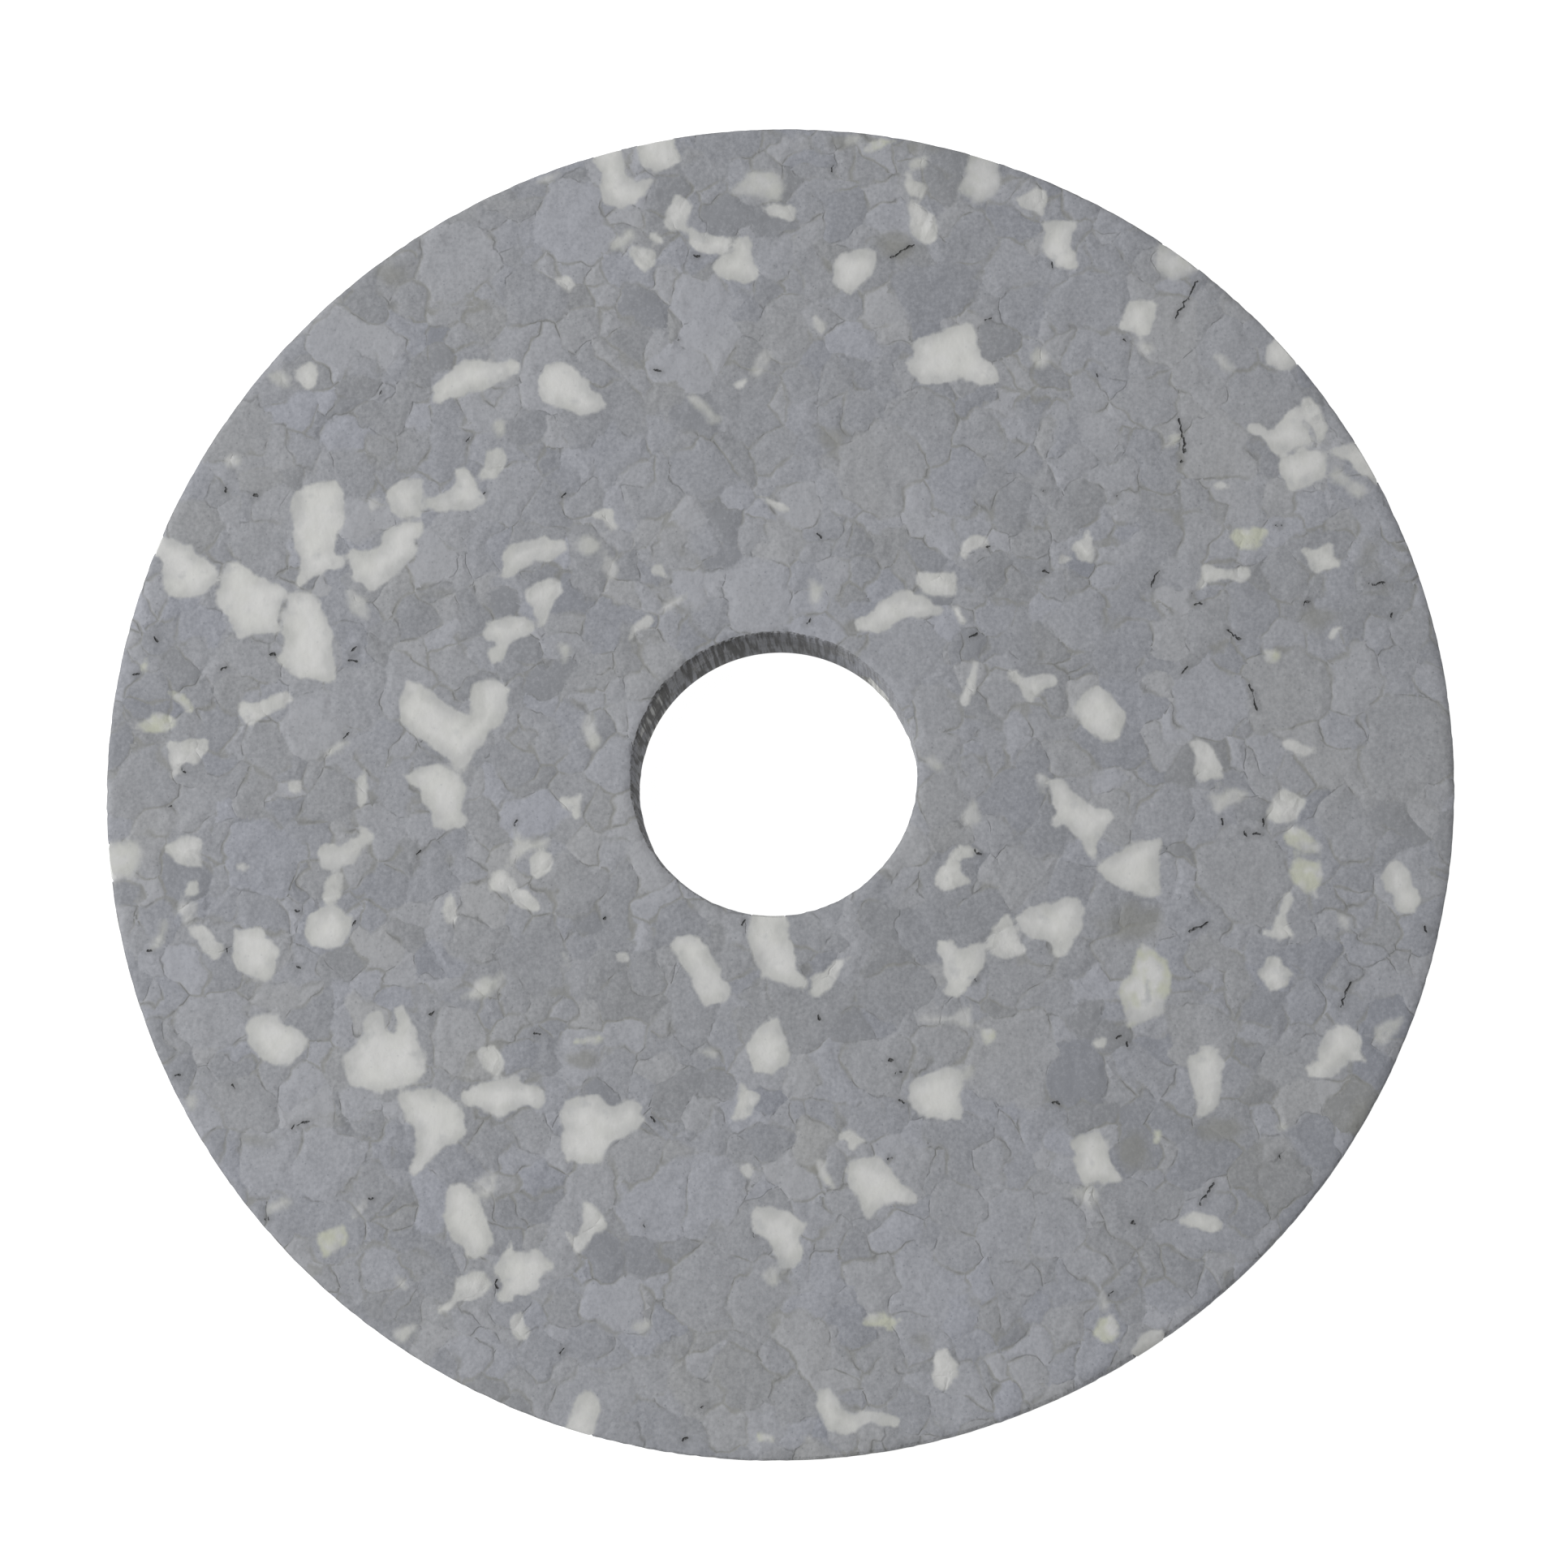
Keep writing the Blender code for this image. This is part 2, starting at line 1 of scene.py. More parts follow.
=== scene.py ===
"""Looks of a polishing wheel made of bonded foam crumb.

The wheel is a flat disc cut from a moulded slab. Grey foam crumbs, a few millimetres across, are held
by a thin tan binder, and lumps of white foam show in the front face. The script gives the grey body a
fine surface that is divided into crumbs, rebuilds the separate white crumbs with their pockets, and
lights the wheel in a plain studio. Lengths are in millimetres until a mesh is made.
"""

import logging
import math
from dataclasses import dataclass, field
from enum import Enum
from typing import Any, Iterable, Union

import bpy
import numpy as np
from mathutils import Matrix, Vector, noise
from mathutils.geometry import delaunay_2d_cdt


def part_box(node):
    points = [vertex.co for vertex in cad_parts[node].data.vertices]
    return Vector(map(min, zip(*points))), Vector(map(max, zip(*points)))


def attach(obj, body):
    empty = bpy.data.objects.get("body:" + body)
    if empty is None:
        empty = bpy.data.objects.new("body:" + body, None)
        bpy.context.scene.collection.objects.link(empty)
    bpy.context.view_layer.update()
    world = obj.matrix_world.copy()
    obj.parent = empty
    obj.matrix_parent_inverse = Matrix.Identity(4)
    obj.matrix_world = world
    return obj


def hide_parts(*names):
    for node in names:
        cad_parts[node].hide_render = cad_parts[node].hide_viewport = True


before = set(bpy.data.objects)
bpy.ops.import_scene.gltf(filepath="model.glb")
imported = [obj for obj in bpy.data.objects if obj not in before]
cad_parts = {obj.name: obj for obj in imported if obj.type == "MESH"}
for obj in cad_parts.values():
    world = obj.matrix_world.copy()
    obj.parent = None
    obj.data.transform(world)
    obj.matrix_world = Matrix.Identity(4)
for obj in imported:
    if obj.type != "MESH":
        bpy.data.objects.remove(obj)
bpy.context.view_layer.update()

MM = 0.001
SEED = 7
log = logging.getLogger("polishing_wheel")

Point = tuple[float, float]
Colour = tuple[float, float, float]


class Edge(Enum):
    """How a white crumb meets the grey ones around it."""

    CRISP = "crisp"
    FADED = "faded"
    YELLOWED = "yellowed"


# Softness of the outline in mm, strength of the white, and yellowness, for each kind of edge.
EDGE_LOOK: dict[Edge, tuple[float, float, float]] = {
    Edge.CRISP: (0.24, 1.0, 0.1),
    Edge.FADED: (0.5, 0.8, 0.25),
    Edge.YELLOWED: (0.32, 0.9, 0.9),
}

# White crumbs of the CAD model that don't have a crisp, clean edge.
SOFT_NODES: dict[str, Edge] = {
    "white_crumb_03": Edge.FADED,
    "white_crumb_08": Edge.FADED,
    "white_crumb_10": Edge.FADED,
    "white_crumb_21": Edge.YELLOWED,
    "white_crumb_46": Edge.FADED,
}

# Outlines of the small white crumbs on the front face, in millimetres from the axis.
SMALL_CRUMBS: dict[Edge, list[list[Point]]] = {
    Edge.CRISP: [
        [(-2, 65.2), (-0.9, 65.9), (1.2, 65.9), (1.9, 65.3), (1.5, 63.9), (0.4, 64.1), (-1, 64.5)],
        [(-11.7, 67), (-10.5, 66.6), (-10.1, 65.4), (-10.5, 63.9), (-10.6, 62.9), (-12.3, 62.8),
         (-13.1, 63.7), (-13, 65.2), (-12.4, 66.4)],
        [(-10.1, 63.1), (-9, 62.6), (-7.8, 62.3), (-5.8, 62), (-5.4, 61.2), (-6, 60.3), (-8.5, 60.2),
         (-9.8, 60.6), (-10.1, 61.8)],
        [(-17, 61.3), (-15.7, 60.9), (-14, 60.2), (-14.2, 59.1), (-15.2, 58), (-16, 58.3), (-16.8, 59.8)],
        [(-14.8, 62.5), (-14, 62.9), (-13.5, 62.3), (-12.9, 61.4), (-13.7, 61.3), (-14.6, 61.9)],
        [(-25.9, 57.3), (-24.2, 57.5), (-22.8, 56.6), (-24, 55.6), (-25.1, 56.2)],
        [(4.1, 52.7), (5.5, 52), (5.5, 50.7), (4.9, 50.5), (3.8, 51.3)],
        [(14.3, 69.6), (15.1, 69.6), (15.7, 68.7), (16.9, 67.9), (16.7, 67.1), (15.8, 66.5), (15.1, 66.5),
         (14.4, 67.7)],
        [(14.9, 66), (15.8, 66.1), (16.8, 65.1), (17.8, 64.1), (18.2, 63), (17.9, 61.5), (17.1, 60.8),
         (15.2, 62), (14.8, 63.6)],
        [(-4.8, 44.8), (-3.6, 45.5), (-3.2, 45), (-4, 44.1), (-4.7, 44.2)],
        [(-1.9, 31.8), (-0.7, 31.4), (0.8, 30.9), (1.6, 30.2), (0.8, 29.7), (-0.1, 30.5), (-1.2, 30.9)],
        [(-20.9, 29.5), (-19.8, 30.3), (-18.8, 30.3), (-18.1, 29.2), (-18, 28), (-18.7, 27.8),
         (-19.3, 28.8)],
        [(26.9, 66.3), (28, 67), (29.2, 67.7), (30.4, 67.2), (30.6, 66.2), (30.1, 64.2), (29.4, 64.5),
         (27.4, 65.5)],
        [(58.9, 42.9), (60.1, 42.7), (61.2, 41.1), (61.8, 39.5), (61.3, 37.8), (60.6, 37.5), (60.2, 38.8),
         (59.3, 40.2), (58.9, 41.6)],
        [(48.8, 32.7), (49.6, 33), (50.8, 32.8), (50.7, 32.4), (49.4, 32.2)],
        [(-53.9, 47.6), (-52.8, 47.3), (-52.2, 45.8), (-53, 44.4), (-54, 44.4), (-55, 45.4), (-55.1, 47)],
        [(-33.9, 33.9), (-33.3, 35.4), (-32.8, 37.2), (-31.5, 37.5), (-30.6, 36.4), (-30.9, 35.1),
         (-32.3, 33.6)],
        [(-60.2, 8.2), (-58.3, 8), (-57, 8.5), (-55.2, 9.6), (-53.9, 8.4), (-55.2, 7.6), (-57, 6.9),
         (-58.1, 6), (-58.7, 5.4), (-59.5, 5.8), (-60, 6.9)],
        [(-68.1, 3.8), (-67, 3.5), (-65.5, 4), (-63.6, 3.9), (-63.6, 2.6), (-65, 0.7), (-66.2, 1.3),
         (-67, -0.3), (-67.7, -0.6), (-67.8, 1.4)],
        [(-45.8, 0.4), (-45.3, -1.5), (-45.6, -3.1), (-46.3, -3.8), (-46.8, -2), (-46.4, -0.3)],
        [(-54.3, -0.9), (-53, -0.7), (-52.9, -2), (-53.6, -2.3), (-54.4, -2.1)],
        [(-49.8, -11.4), (-48.1, -11.2), (-48, -13.1), (-48.4, -14.2), (-49.5, -14.6), (-50.2, -14.2),
         (-49.8, -13.1)],
        [(-68, -8.2), (-66.7, -7.6), (-65.2, -6.8), (-63.9, -7.4), (-64.1, -8.7), (-63.6, -10.7),
         (-65.2, -10.6), (-66.7, -10.1), (-67.7, -9)],
        [(-65.3, -12.3), (-64.1, -12.1), (-64.2, -13.5), (-65, -14.1), (-65.6, -13.5)],
        [(-65, -17.3), (-63.3, -17.1), (-62.3, -18.2), (-61, -19.5), (-61.1, -20.3), (-62, -21),
         (-62.7, -20.3), (-63.9, -19), (-64.8, -18.1)],
        [(-60, -10.3), (-59.2, -10), (-58.4, -10.4), (-59, -11.1), (-59.9, -11)],
        [(-35.5, -13.5), (-35, -15.3), (-35, -16.8), (-36.1, -16.8), (-36.9, -15.1), (-36.4, -14.2)],
        [(-31.4, -11), (-29.8, -11), (-28.4, -12.6), (-26.7, -13.4), (-25.6, -15.2), (-26.3, -15.7),
         (-28, -15.3), (-29.2, -14), (-30.2, -13.3), (-31.7, -13.3), (-31.6, -12.1)],
        [(-28.2, 21.2), (-26, 22.1), (-25.1, 22.4), (-24, 21.8), (-24, 20.7), (-25.1, 19.8),
         (-25.3, 18.2), (-26, 16.9), (-26.8, 17.7), (-27.6, 19.1), (-28.2, 20.4)],
        [(-13.8, 23.5), (-12.9, 23.8), (-12.2, 22.7), (-12.4, 22.3), (-13.4, 22.6), (-14, 22.9)],
        [(-16.5, 15.2), (-16, 16.6), (-15.1, 17.6), (-14.2, 17.9), (-13.7, 17.6), (-14.3, 16.6),
         (-15.4, 16.2), (-16, 15.5)],
        [(-23.8, -2.8), (-22.4, -2.8), (-21.5, -2.1), (-21, -2.4), (-21.5, -3.7), (-21.5, -4.6),
         (-22, -5.3), (-22.8, -4.3), (-23.8, -4)],
        [(-26.9, -9.3), (-26, -8.6), (-24.6, -9), (-24.5, -10.1), (-25.1, -11.2), (-26, -11.8),
         (-27, -11.5), (-27.1, -10.3)],
        [(19.8, 18.8), (20.4, 19), (21, 18.2), (21.2, 16.9), (20.5, 17.1), (19.9, 17.9)],
        [(15.8, 22.7), (17.1, 22.9), (19, 22.9), (20.2, 22.7), (20.1, 21.3), (20.2, 20.1), (19, 20.2),
         (17.6, 20.1), (16.6, 20.6), (15.8, 21.5)],
        [(20.8, 26.2), (21.5, 26.9), (23.3, 27.1), (23.8, 26), (23, 25.5), (21.8, 25.1), (21.2, 24.3),
         (20.5, 24.8)],
        [(22.1, 12.7), (22.7, 12.6), (22.7, 11.6), (22.3, 9.8), (21.6, 7.9), (21.1, 7.6), (20.6, 8.2),
         (21.2, 9.8), (21.6, 11.6)],
        [(20.2, -8.1), (22.7, -8.4), (22.1, -9.3), (20.8, -9.6), (20.7, -11.2), (22.1, -12.1),
         (20.2, -12.8), (18.7, -13.2), (17.8, -12.5), (17.8, -11.6), (18.5, -10.6), (19.3, -9.6)],
        [(8.7, -20.4), (7.9, -21.2), (7.1, -22.8), (6.1, -24.5), (4.9, -25), (3.9, -24.3), (4.2, -23),
         (5.2, -22.3), (6.8, -20.9)],
        [(24.2, -17), (25.8, -15.6), (26.5, -16.8), (27.3, -18.6), (28, -19.8), (26.5, -20.5),
         (24.8, -20.3), (23.9, -20), (23.9, -18.6)],
        [(-17.3, -20.1), (-16, -19.9), (-15.9, -20.9), (-16.8, -21.1)],
        [(26, 11.5), (26.8, 11.8), (27.4, 11.3), (27.8, 10.9), (28.7, 11.2), (30.2, 11.3), (31.5, 10.5),
         (31.3, 10), (30.2, 9.6), (29.4, 9), (28.7, 8), (27.7, 8.4), (27.3, 9.8), (26.2, 10.4)],
        [(45.7, 3.5), (46.5, 3.9), (47.9, 3.7), (48.7, 2.3), (49.4, 0.8), (49.6, -0.3), (48.7, -0.6),
         (47.9, -1), (46.9, -1), (46.5, 0.2), (46.6, 1.6), (46.3, 2.8)],
        [(55.2, -2.3), (56.5, -1.8), (57.7, -2.3), (58.8, -2.8), (58.7, -3.4), (57.9, -4.3), (57.6, -5.3),
         (55.4, -5.6), (54.3, -4.9), (54.8, -3.4)],
        [(55.7, 3.5), (57.1, 3.8), (58.3, 3.5), (60.1, 2.6), (59, 1.9), (57.7, 2), (56.5, 2.9)],
        [(56.1, -13.3), (56.7, -13.1), (57.1, -14), (56.5, -15.3), (56.6, -16.8), (57.1, -18.1),
         (55.8, -18.7), (54.9, -18.3), (53.7, -17.6), (54.8, -17.3), (55.4, -15.3)],
        [(54, -20.4), (55.2, -20.2), (56.2, -21.2), (56.8, -22), (56.5, -23.1), (55.2, -24),
         (54.4, -24.3), (53.7, -23.1), (53, -22.1), (53.7, -21.2)],
        [(61.8, 16.5), (62.7, 16.7), (63.2, 16.2), (62.3, 15.5), (61.6, 15.1)],
        [(34.8, 27.9), (35.4, 26.3), (35.7, 25.1), (35.2, 23.9), (34, 24.1), (33.6, 24.8), (33.3, 25.7),
         (34.1, 26.6)],
        [(31.9, 25.1), (33, 24.4), (32.4, 23.6), (31.6, 23.7)],
        [(47.6, 23.5), (48.7, 23.5), (50.2, 23), (51.2, 22.9), (52.1, 23.3), (52.9, 23), (52.9, 22.3),
         (51.9, 21.6), (50.8, 21.8), (49.6, 22.1), (48.3, 21.6), (47.6, 20.7), (46.9, 20.7),
         (47.3, 22.1)],
        [(58.7, 25.4), (60.2, 25.5), (61.9, 26), (62.2, 24.8), (63, 23.7), (62.9, 23.2), (61.6, 23),
         (60.4, 22.6), (59.4, 23.2), (59.1, 24.6)],
        [(-34.2, -55.9), (-33, -55.1), (-31.3, -54.9), (-30.5, -55.8), (-30.3, -56.6), (-31, -57.2),
         (-32.3, -57.9), (-33.9, -58.4), (-34.8, -59.2), (-36.1, -59.6), (-36.2, -59), (-34.8, -58.1),
         (-34.4, -57.1)],
        [(-32.3, -30.7), (-30.8, -30.3), (-30, -31), (-29.5, -32.8), (-29.9, -33.7), (-30.7, -33.8),
         (-32, -32.4), (-32.6, -31.3)],
        [(-20.7, -47.3), (-20.1, -47.3), (-18.2, -49), (-17.8, -49.9), (-19.2, -51.2), (-20.4, -52.8),
         (-21.2, -53.1), (-22.1, -51.4), (-22.3, -50.6), (-21, -51.4), (-20.4, -49.9), (-20.4, -48.7)],
        [(-28.1, -59.9), (-27, -59.3), (-26.7, -60.4), (-26.2, -61.2), (-26.3, -62), (-27.4, -62.3),
         (-28.2, -61.2)],
        [(-3.5, -34.3), (-2.3, -35.1), (-1.2, -36), (-1.6, -36.7), (-2.1, -37.8), (-2.8, -38.7),
         (-4.5, -38.4), (-4, -37.4), (-3.7, -36)],
        [(-3.4, -43.4), (-2.4, -43.1), (-1.9, -43.7), (-2.1, -44.6), (-2.9, -44.8)],
        [(7.6, -39.6), (8.5, -39.1), (9.4, -39.9), (10.4, -40.6), (9.6, -41), (8.8, -41.6), (8.2, -40.6),
         (7.4, -40.4)],
        [(18, -63.2), (19.1, -62.8), (19.8, -63.7), (20.5, -64.9), (19.9, -66.3), (19.1, -67.4),
         (18, -67.1), (17.6, -65.6), (17.7, -64.3)],
        [(34.8, -29.8), (35.7, -29.4), (36.6, -29.3), (36.5, -30.1), (35.5, -30.5)],
        [(44.3, -49.2), (45.2, -48.2), (46.8, -48), (48.2, -48.5), (49, -49.6), (48.3, -50.3),
         (46.8, -50.1), (45.2, -49.6)],
    ],
    Edge.FADED: [
        [(-17, 63.1), (-16.7, 62.2), (-17.6, 60.9), (-19.2, 60.5), (-19.5, 61.7), (-18.2, 62.2)],
        [(14.8, 70.6), (15.6, 71.2), (16.8, 71.5), (16.9, 70.7), (16.4, 69.8), (15.2, 70.1)],
        [(8, 74.1), (9.3, 74), (8.8, 73.3), (7.9, 72.8), (7.4, 73.3)],
        [(-1.8, 48.6), (-0.9, 48.1), (-0.9, 47), (-2, 45.8), (-3.1, 45.8), (-2.6, 47.3)],
        [(-10.4, 43.3), (-9.5, 43.6), (-7.9, 42.3), (-6.3, 40.6), (-6.7, 40), (-7.6, 40.2), (-8.2, 41.4),
         (-9.5, 42.3)],
        [(-27.9, 68.9), (-26.4, 69.7), (-25.4, 69.9), (-25.6, 69.3), (-26.8, 68.7)],
        [(41, 49.2), (42.3, 49.2), (42.6, 48.4), (41.8, 47.7), (40.8, 48.1)],
        [(28.5, 47.8), (29.3, 48.8), (30.4, 48.3), (30.7, 47.2), (30.2, 46.3), (29.4, 46.6),
         (28.7, 47.2)],
        [(49.1, 47.7), (50, 47.7), (51.5, 46.4), (51.2, 45.8), (49.9, 46.4)],
        [(62, 34), (63, 34.2), (64.3, 33.6), (66, 31.9), (65.2, 31.4), (64, 31.7), (62.7, 33)],
        [(-58.3, 46), (-57, 46.7), (-55.8, 45.8), (-56, 44.5), (-57.6, 45.3)],
        [(-63, 36.2), (-61.7, 36.9), (-60.9, 36.1), (-61.7, 35.5), (-62.5, 35.6)],
        [(-48.7, 21), (-47.7, 21.2), (-46.6, 20.2), (-45.8, 18.8), (-45.8, 17.6), (-46.9, 17.7),
         (-48.1, 19.1)],
        [(-46.2, 31.4), (-45.5, 31.6), (-45.1, 30.8), (-45.8, 30.2), (-46.3, 30.6)],
        [(-32.2, 40.6), (-31.3, 40.6), (-30.9, 39.4), (-31.4, 38.6), (-31.9, 39.4)],
        [(-50.5, 1.9), (-49.8, 3), (-48.3, 3.8), (-47.5, 3.5), (-48.9, 2.5), (-49.8, 1.9)],
        [(-66.3, -14.5), (-65.1, -14.5), (-64.1, -14.8), (-64.5, -16.2), (-65.6, -17), (-66.1, -15.9)],
        [(-67.7, -16.2), (-67.5, -17.8), (-68.1, -19.3), (-69.1, -20.3), (-69.4, -19.6), (-68.4, -18.1)],
        [(-22.1, 27.1), (-20.9, 27.3), (-19.5, 26.3), (-20.1, 25.4), (-21.2, 24.9), (-22.3, 25.5),
         (-22.4, 26.3)],
        [(-19.6, 24.4), (-18.5, 24.8), (-17.8, 23.8), (-17.8, 22.7), (-18.4, 22.1), (-19.3, 22.9)],
        [(-13.2, 18.3), (-12.3, 19.4), (-10.7, 20.2), (-9.9, 20.3), (-10.6, 19.3), (-12, 18.5)],
        [(-24.6, 14.6), (-23.2, 14.8), (-22.9, 14), (-23.5, 12.9), (-24, 12.3), (-23.8, 13.8)],
        [(-21.3, 6.6), (-20.3, 6.9), (-20.1, 4.8), (-19.5, 3.5), (-20.3, 2.6), (-21, 3.5), (-21.5, 5.4)],
        [(-28.8, -6), (-28.2, -7.2), (-26.6, -7.9), (-24.6, -7.2), (-25.3, -8.1), (-27.3, -8.7),
         (-28.2, -9.6), (-29.2, -10.2), (-28.9, -8.2)],
        [(3.7, 22.2), (4.4, 21.6), (5.2, 21), (4.9, 19.7), (4.7, 18.5), (4, 19.4), (3.8, 20.7)],
        [(16.6, 1.8), (17.4, 1.9), (18.3, 1.2), (18.7, 0.4), (17.7, 0.5), (16.9, 1)],
        [(22.1, -2.8), (22.7, -4), (22.6, -5.6), (21.5, -5.9), (20.8, -4.9), (21.5, -3.7)],
        [(-23.3, -19.9), (-22.7, -20.8), (-22.3, -21.8), (-22.9, -21.3)],
        [(29, 0), (30, -0.4), (29.9, -2.3), (29.4, -1.2)],
        [(48, -2.4), (49.9, -2.1), (50.8, -1.7), (52.3, -2), (51.5, -3.1), (50.2, -3.7), (48.8, -4.3),
         (48.2, -3.4)],
        [(61.9, -15.7), (62.6, -15.6), (63, -16.5), (63, -17.4), (62.3, -17)],
        [(-30.2, -44.5), (-30.2, -45.9), (-30.9, -47), (-31.9, -46.7), (-32.3, -45.3), (-31.4, -44.5)],
        [(-45.9, -49.3), (-45.5, -48.7), (-44.4, -47.3), (-44.2, -48.1), (-45.4, -49.3)],
        [(-55.2, -48.4), (-53.9, -47.4), (-52.7, -47.1), (-52.7, -47.8), (-54.2, -48.5), (-55.2, -48.9)],
        [(-64.7, -36.2), (-63.6, -35.8), (-63.3, -36.5), (-63.8, -37.4), (-64.3, -37.4), (-64.7, -36.9)],
        [(-40.9, -61.7), (-40.2, -61), (-38.4, -60.7), (-38.6, -61.5), (-39.5, -62.5), (-40.3, -62.4)],
        [(-41, -55.6), (-40, -56), (-39.5, -57), (-40.5, -56.7)],
        [(-33, -23.2), (-31.7, -22.8), (-30.8, -23), (-29.7, -22.4), (-29.8, -23.8), (-31, -24.8),
         (-33, -25.2), (-34.6, -25.2), (-33.4, -24.5)],
        [(-14.8, -60.4), (-13.1, -60.3), (-13.1, -60.9), (-13.8, -61.4), (-14.8, -61)],
        [(-8.1, -30.7), (-7, -30.5), (-6, -31), (-6.2, -31.7), (-7.3, -31.4)],
        [(-0.6, -54.8), (0.1, -54.1), (0.8, -54.6), (0.9, -56.1), (0.1, -56.2), (-0.9, -55.3)],
        [(21.2, -33), (21.5, -32.4), (22.2, -32.6), (21.8, -33.4), (21.3, -33.8)],
        [(16, -27.4), (17.4, -27), (19.6, -27), (20.8, -26.2), (21.9, -25.6), (21.9, -27.1),
         (21.5, -28.1), (20.7, -27.8), (19.6, -27.6), (17.4, -27.7)],
        [(3.7, -72.2), (4.9, -72.3), (4.5, -72.9), (3.8, -72.8)],
        [(65.8, -28.1), (67.1, -27.3), (68.7, -26.8), (68.7, -27.4), (67.7, -28.7), (66.8, -29.8),
         (65.7, -29.3)],
        [(32.6, -45.9), (34.3, -45.7), (35.5, -46), (35.4, -47.1), (34.9, -47.9), (34, -47)],
        [(35.8, -56.5), (36.4, -57), (36.5, -58.6), (35.9, -58.5)],
        [(54.8, -38.7), (55.7, -38.5), (56, -39), (55.2, -39.4)],
    ],
    Edge.YELLOWED: [
        [(10.8, 73.2), (11.8, 73.7), (13.4, 73.4), (12.1, 72.7), (10.2, 71.9), (9.6, 72.3)],
        [(43, 37), (44.3, 38.3), (45.5, 38.7), (45.2, 37.7), (44, 36.9)],
        [(-72, 5.4), (-70.8, 6.3), (-69.2, 6.8), (-67.7, 6.5), (-67.4, 5.8), (-68.4, 4.9), (-69.5, 4.4),
         (-70.8, 4.8)],
        [(-68.6, 9.4), (-67.4, 9.4), (-66.3, 8.4), (-65.4, 7), (-66.2, 6.9), (-67.2, 8.2)],
        [(-71.1, 13.4), (-70.7, 12.6), (-70.9, 11.5), (-71.5, 12)],
        [(56.9, -5.9), (57.9, -5.8), (59.3, -6.8), (60.1, -7.9), (59.9, -8.7), (58.3, -8.5), (56.8, -7.9),
         (56.2, -7)],
        [(57.1, -9.9), (58, -9.5), (59.3, -9.7), (60.2, -9.9), (60.2, -11.5), (59.8, -12.8), (59.6, -14),
         (58.5, -13.1), (57.3, -12.4), (56.8, -11.2)],
        [(54.1, 13.8), (55.4, 14), (56.2, 13.2), (55.7, 12.3), (54.8, 12.4)],
        [(50.4, 26.9), (51.2, 27.6), (52.4, 27.8), (54.8, 27.7), (54.9, 27.1), (54.1, 26.5), (53.8, 25.4),
         (53.2, 25.1), (52.1, 25.2), (51.2, 25.8)],
        [(-49.4, -50.9), (-48, -50.4), (-46.7, -50.1), (-46.4, -51.5), (-46.6, -52.1), (-47.5, -52.9),
         (-48.8, -53.5), (-49.2, -52.8), (-49.5, -51.7)],
        [(5, -42.5), (5.7, -43), (6.6, -44.9), (6.9, -46), (6.2, -45.6), (5.2, -44.2)],
        [(-1.3, -72.3), (-0.3, -72.1), (1, -72.3), (0.5, -73), (-0.7, -72.9)],
        [(10.4, -59.6), (12.1, -58.8), (13.3, -59.6), (14.3, -59.9), (13, -61), (12.1, -60.6),
         (10.2, -60.3)],
        [(-22, -29.9), (-19, -29.1), (-18.3, -29.5), (-20, -30.1)],
        [(23, -28.6), (24, -28.2), (24.6, -28.6), (24.4, -29.6), (23.4, -30)],
        [(41.5, -39.3), (42.4, -39.2), (42.7, -39.9), (41.9, -40.9)],
        [(35.7, -59.8), (36.8, -59), (37.6, -59.9), (37.9, -61.5), (36.9, -62.3), (35.7, -61.8),
         (34.9, -61.2)],
    ],
}

